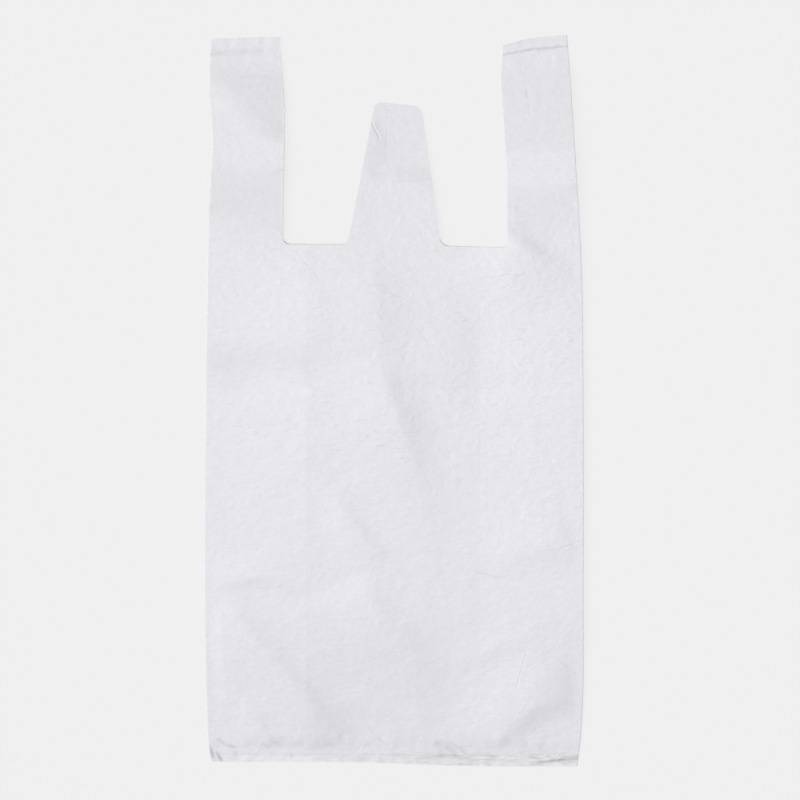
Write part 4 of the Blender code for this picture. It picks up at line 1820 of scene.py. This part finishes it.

# The last value of a crease paints it darker: shade in the creases, beside the folds and on the drooping
# bottom skirt, and a darker line along the handles' welds.
CREASES = (
    # Folds from packing, across the bag; the first is a broad band of painted shade on the left gusset above
    # its pack fold.
    SharpCrease((-147.0, 31.0), (-60.0, 31.0), 12.0, 0.0, 0.09),
    SharpCrease((-141.0, 10.5), (-68.2, 10.1), 0.5, 0.05),
    SharpCrease((6.0, 9.0), (139.5, 8.6), 0.5, 0.05),
    # Left handle.
    SharpCrease((-143.0, 259.8), (-97.0, 261.4), 3.0, 0.0, 0.16),
    SharpCrease((-143.0, 258.8), (-124.2, 259.9), 1.2, 0.0, 0.14),
    SharpCrease((-102.0, 262.9), (-98.2, 257.6), 0.9, 0.0, 0.10),
    SharpCrease((-104.2, 256.9), (-106.5, 247.9), 1.7, 0.0, 0.09),
    SharpCrease((-103.5, 226.1), (-95.2, 226.1), 0.6, 0.0, 0.14),
    SharpCrease((-96.0, 226.9), (-95.2, 220.9), 0.6, 0.0, 0.12),
    SharpCrease((-132.8, 247.9), (-120.8, 241.1), 0.6, -0.10),
    SharpCrease((-117.0, 242.6), (-90.8, 243.0), 1.4, 0.0, 0.07),
    # Right handle.
    SharpCrease((72.0, 257.6), (106.0, 263.9), 0.9, 0.05, 0.40),
    SharpCrease((98.0, 262.9), (141.0, 266.5), 1.0, 0.05, 0.42),
    SharpCrease((105.8, 263.6), (111.0, 260.2), 1.5, 0.0, 0.20),
    SharpCrease((82.5, 265.5), (99.8, 270.0), 0.8, 0.0, 0.22),
    SharpCrease((94.5, 247.9), (101.2, 241.1), 0.6, 0.10, 0.12),
    SharpCrease((99.0, 235.1), (99.8, 224.6), 0.8, 0.10, 0.18),
    SharpCrease((100.5, 225.4), (102.8, 208.9), 0.7, 0.06, 0.05),
    # Tab and front panel.
    SharpCrease((-4.0, 169.5), (31.0, 170.5), 5.0, 0.0, 0.09),
    SharpCrease((0.0, 164.2), (31.0, 165.5), 1.2, 0.0, 0.10),
    SharpCrease((-20.0, 171.5), (-4.0, 167.0), 2.5, 0.0, 0.08),
    SharpCrease((-18.0, 211.1), (-9.4, 193.1), 0.7, 0.22, 0.16),
    SharpCrease((-19.5, 166.9), (2.2, 163.1), 0.6, -0.08),
    SharpCrease((1.5, 163.1), (10.5, 157.9), 0.6, -0.10),
    SharpCrease((-4.5, 220.1), (-6.0, 176.6), 0.5, 0.05, 0.03),
    SharpCrease((-76.5, 115.9), (-54.0, 88.9), 0.6, 0.08, 0.04),
    SharpCrease((84.0, 131.4), (98.5, 121.4), 2.4, 0.05, 0.10),
    SharpCrease((93.0, 124.4), (117.0, 108.4), 3.6, 0.05, 0.12),
    SharpCrease((34.5, -121.9), (57.0, -129.4), 0.5, 0.06, 0.03),
    SharpCrease((55.5, -125.6), (81.8, -134.6), 0.5, 0.14, 0.08),
    SharpCrease((114.8, -106.9), (122.2, -112.9), 0.5, 0.10, 0.08),
    SharpCrease((120.8, -112.9), (141.0, -104.6), 0.5, 0.10, 0.08),
    SharpCrease((100.5, -184.1), (90.8, -218.6), 0.6, 0.08, 0.04),
    SharpCrease((120.8, -191.6), (140.2, -207.4), 0.6, 0.14, 0.08),
    SharpCrease((87.0, 28.1), (99.8, 15.4), 0.6, 0.10, 0.05),
    # Bottom left corner, with the painted shade of its crumple.
    SharpCrease((-134.2, -252.8), (-124.5, -258.8), 0.9, 0.10, 0.40),
    SharpCrease((-126.8, -258.0), (-116.2, -261.0), 1.2, 0.15, 0.45),
    SharpCrease((-118.5, -260.6), (-119.2, -269.6), 1.6, 0.0, 0.28),
    SharpCrease((-138.8, -257.1), (-134.6, -270.9), 1.5, 0.10, 0.75),
    SharpCrease((-134.5, -261.6), (-127.0, -273.1), 1.3, 0.10, 0.75),
    SharpCrease((-99.8, -255.8), (-91.5, -261.8), 1.2, 0.08, 0.22),
    SharpCrease((-94.5, -252.4), (-81.8, -261.4), 1.4, 0.08, 0.18),
    SharpCrease((-78.4, -262.9), (-75.0, -270.4), 0.9, 0.0, 0.25),
    # Along the bottom weld and its skirt, with painted shade in the creases and along the skirt's edge.
    SharpCrease((-49.5, -256.1), (-42.0, -262.5), 1.0, 0.06, 0.14),
    SharpCrease((-43.5, -262.1), (-27.8, -262.1), 0.9, 0.06, 0.14),
    SharpCrease((-29.2, -262.5), (-22.5, -257.6), 0.9, 0.06, 0.14),
    SharpCrease((-23.2, -257.6), (-16.5, -258.4), 0.8, 0.04, 0.10),
    SharpCrease((-21.8, -240.4), (-12.0, -252.4), 1.2, 0.12, 0.12),
    SharpCrease((-13.5, -250.5), (-0.8, -262.9), 1.2, 0.12, 0.14),
    SharpCrease((33.0, -253.1), (36.5, -271.1), 2.2, 0.0, 0.22),
    SharpCrease((27.2, -256.6), (46.5, -256.2), 1.6, 0.0, 0.16),
    SharpCrease((35.4, -257.6), (50.5, -266.4), 1.8, 0.06, 0.26),
    SharpCrease((42.0, -256.6), (57.5, -266.1), 1.8, 0.06, 0.28),
    SharpCrease((14.0, -267.4), (64.0, -267.0), 1.5, 0.0, 0.25),
    SharpCrease((99.0, -272.0), (130.0, -269.4), 1.1, 0.0, 0.35),
    SharpCrease((114.0, -270.4), (147.0, -267.6), 1.3, 0.0, 0.65),
)


def main() -> None:
    """Builds the studio and the bag, and says what each piece rides on."""
    logging.basicConfig(level=logging.INFO, format="%(name)s: %(message)s")
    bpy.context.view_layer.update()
    outline = BagOutline()
    film_material = FilmFinish(creases=CREASES).make(outline)
    film = CarrierFilm(outline, AirInside(), FilmStack(), film_material, FOLDS, RIPPLES).build()
    ribs = WeldRibs(outline, film_material).build(film)
    Studio().build()
    for piece in (film, ribs):
        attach(piece, "root")
    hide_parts("carrier_bag")


if __name__ == "__main__":
    main()
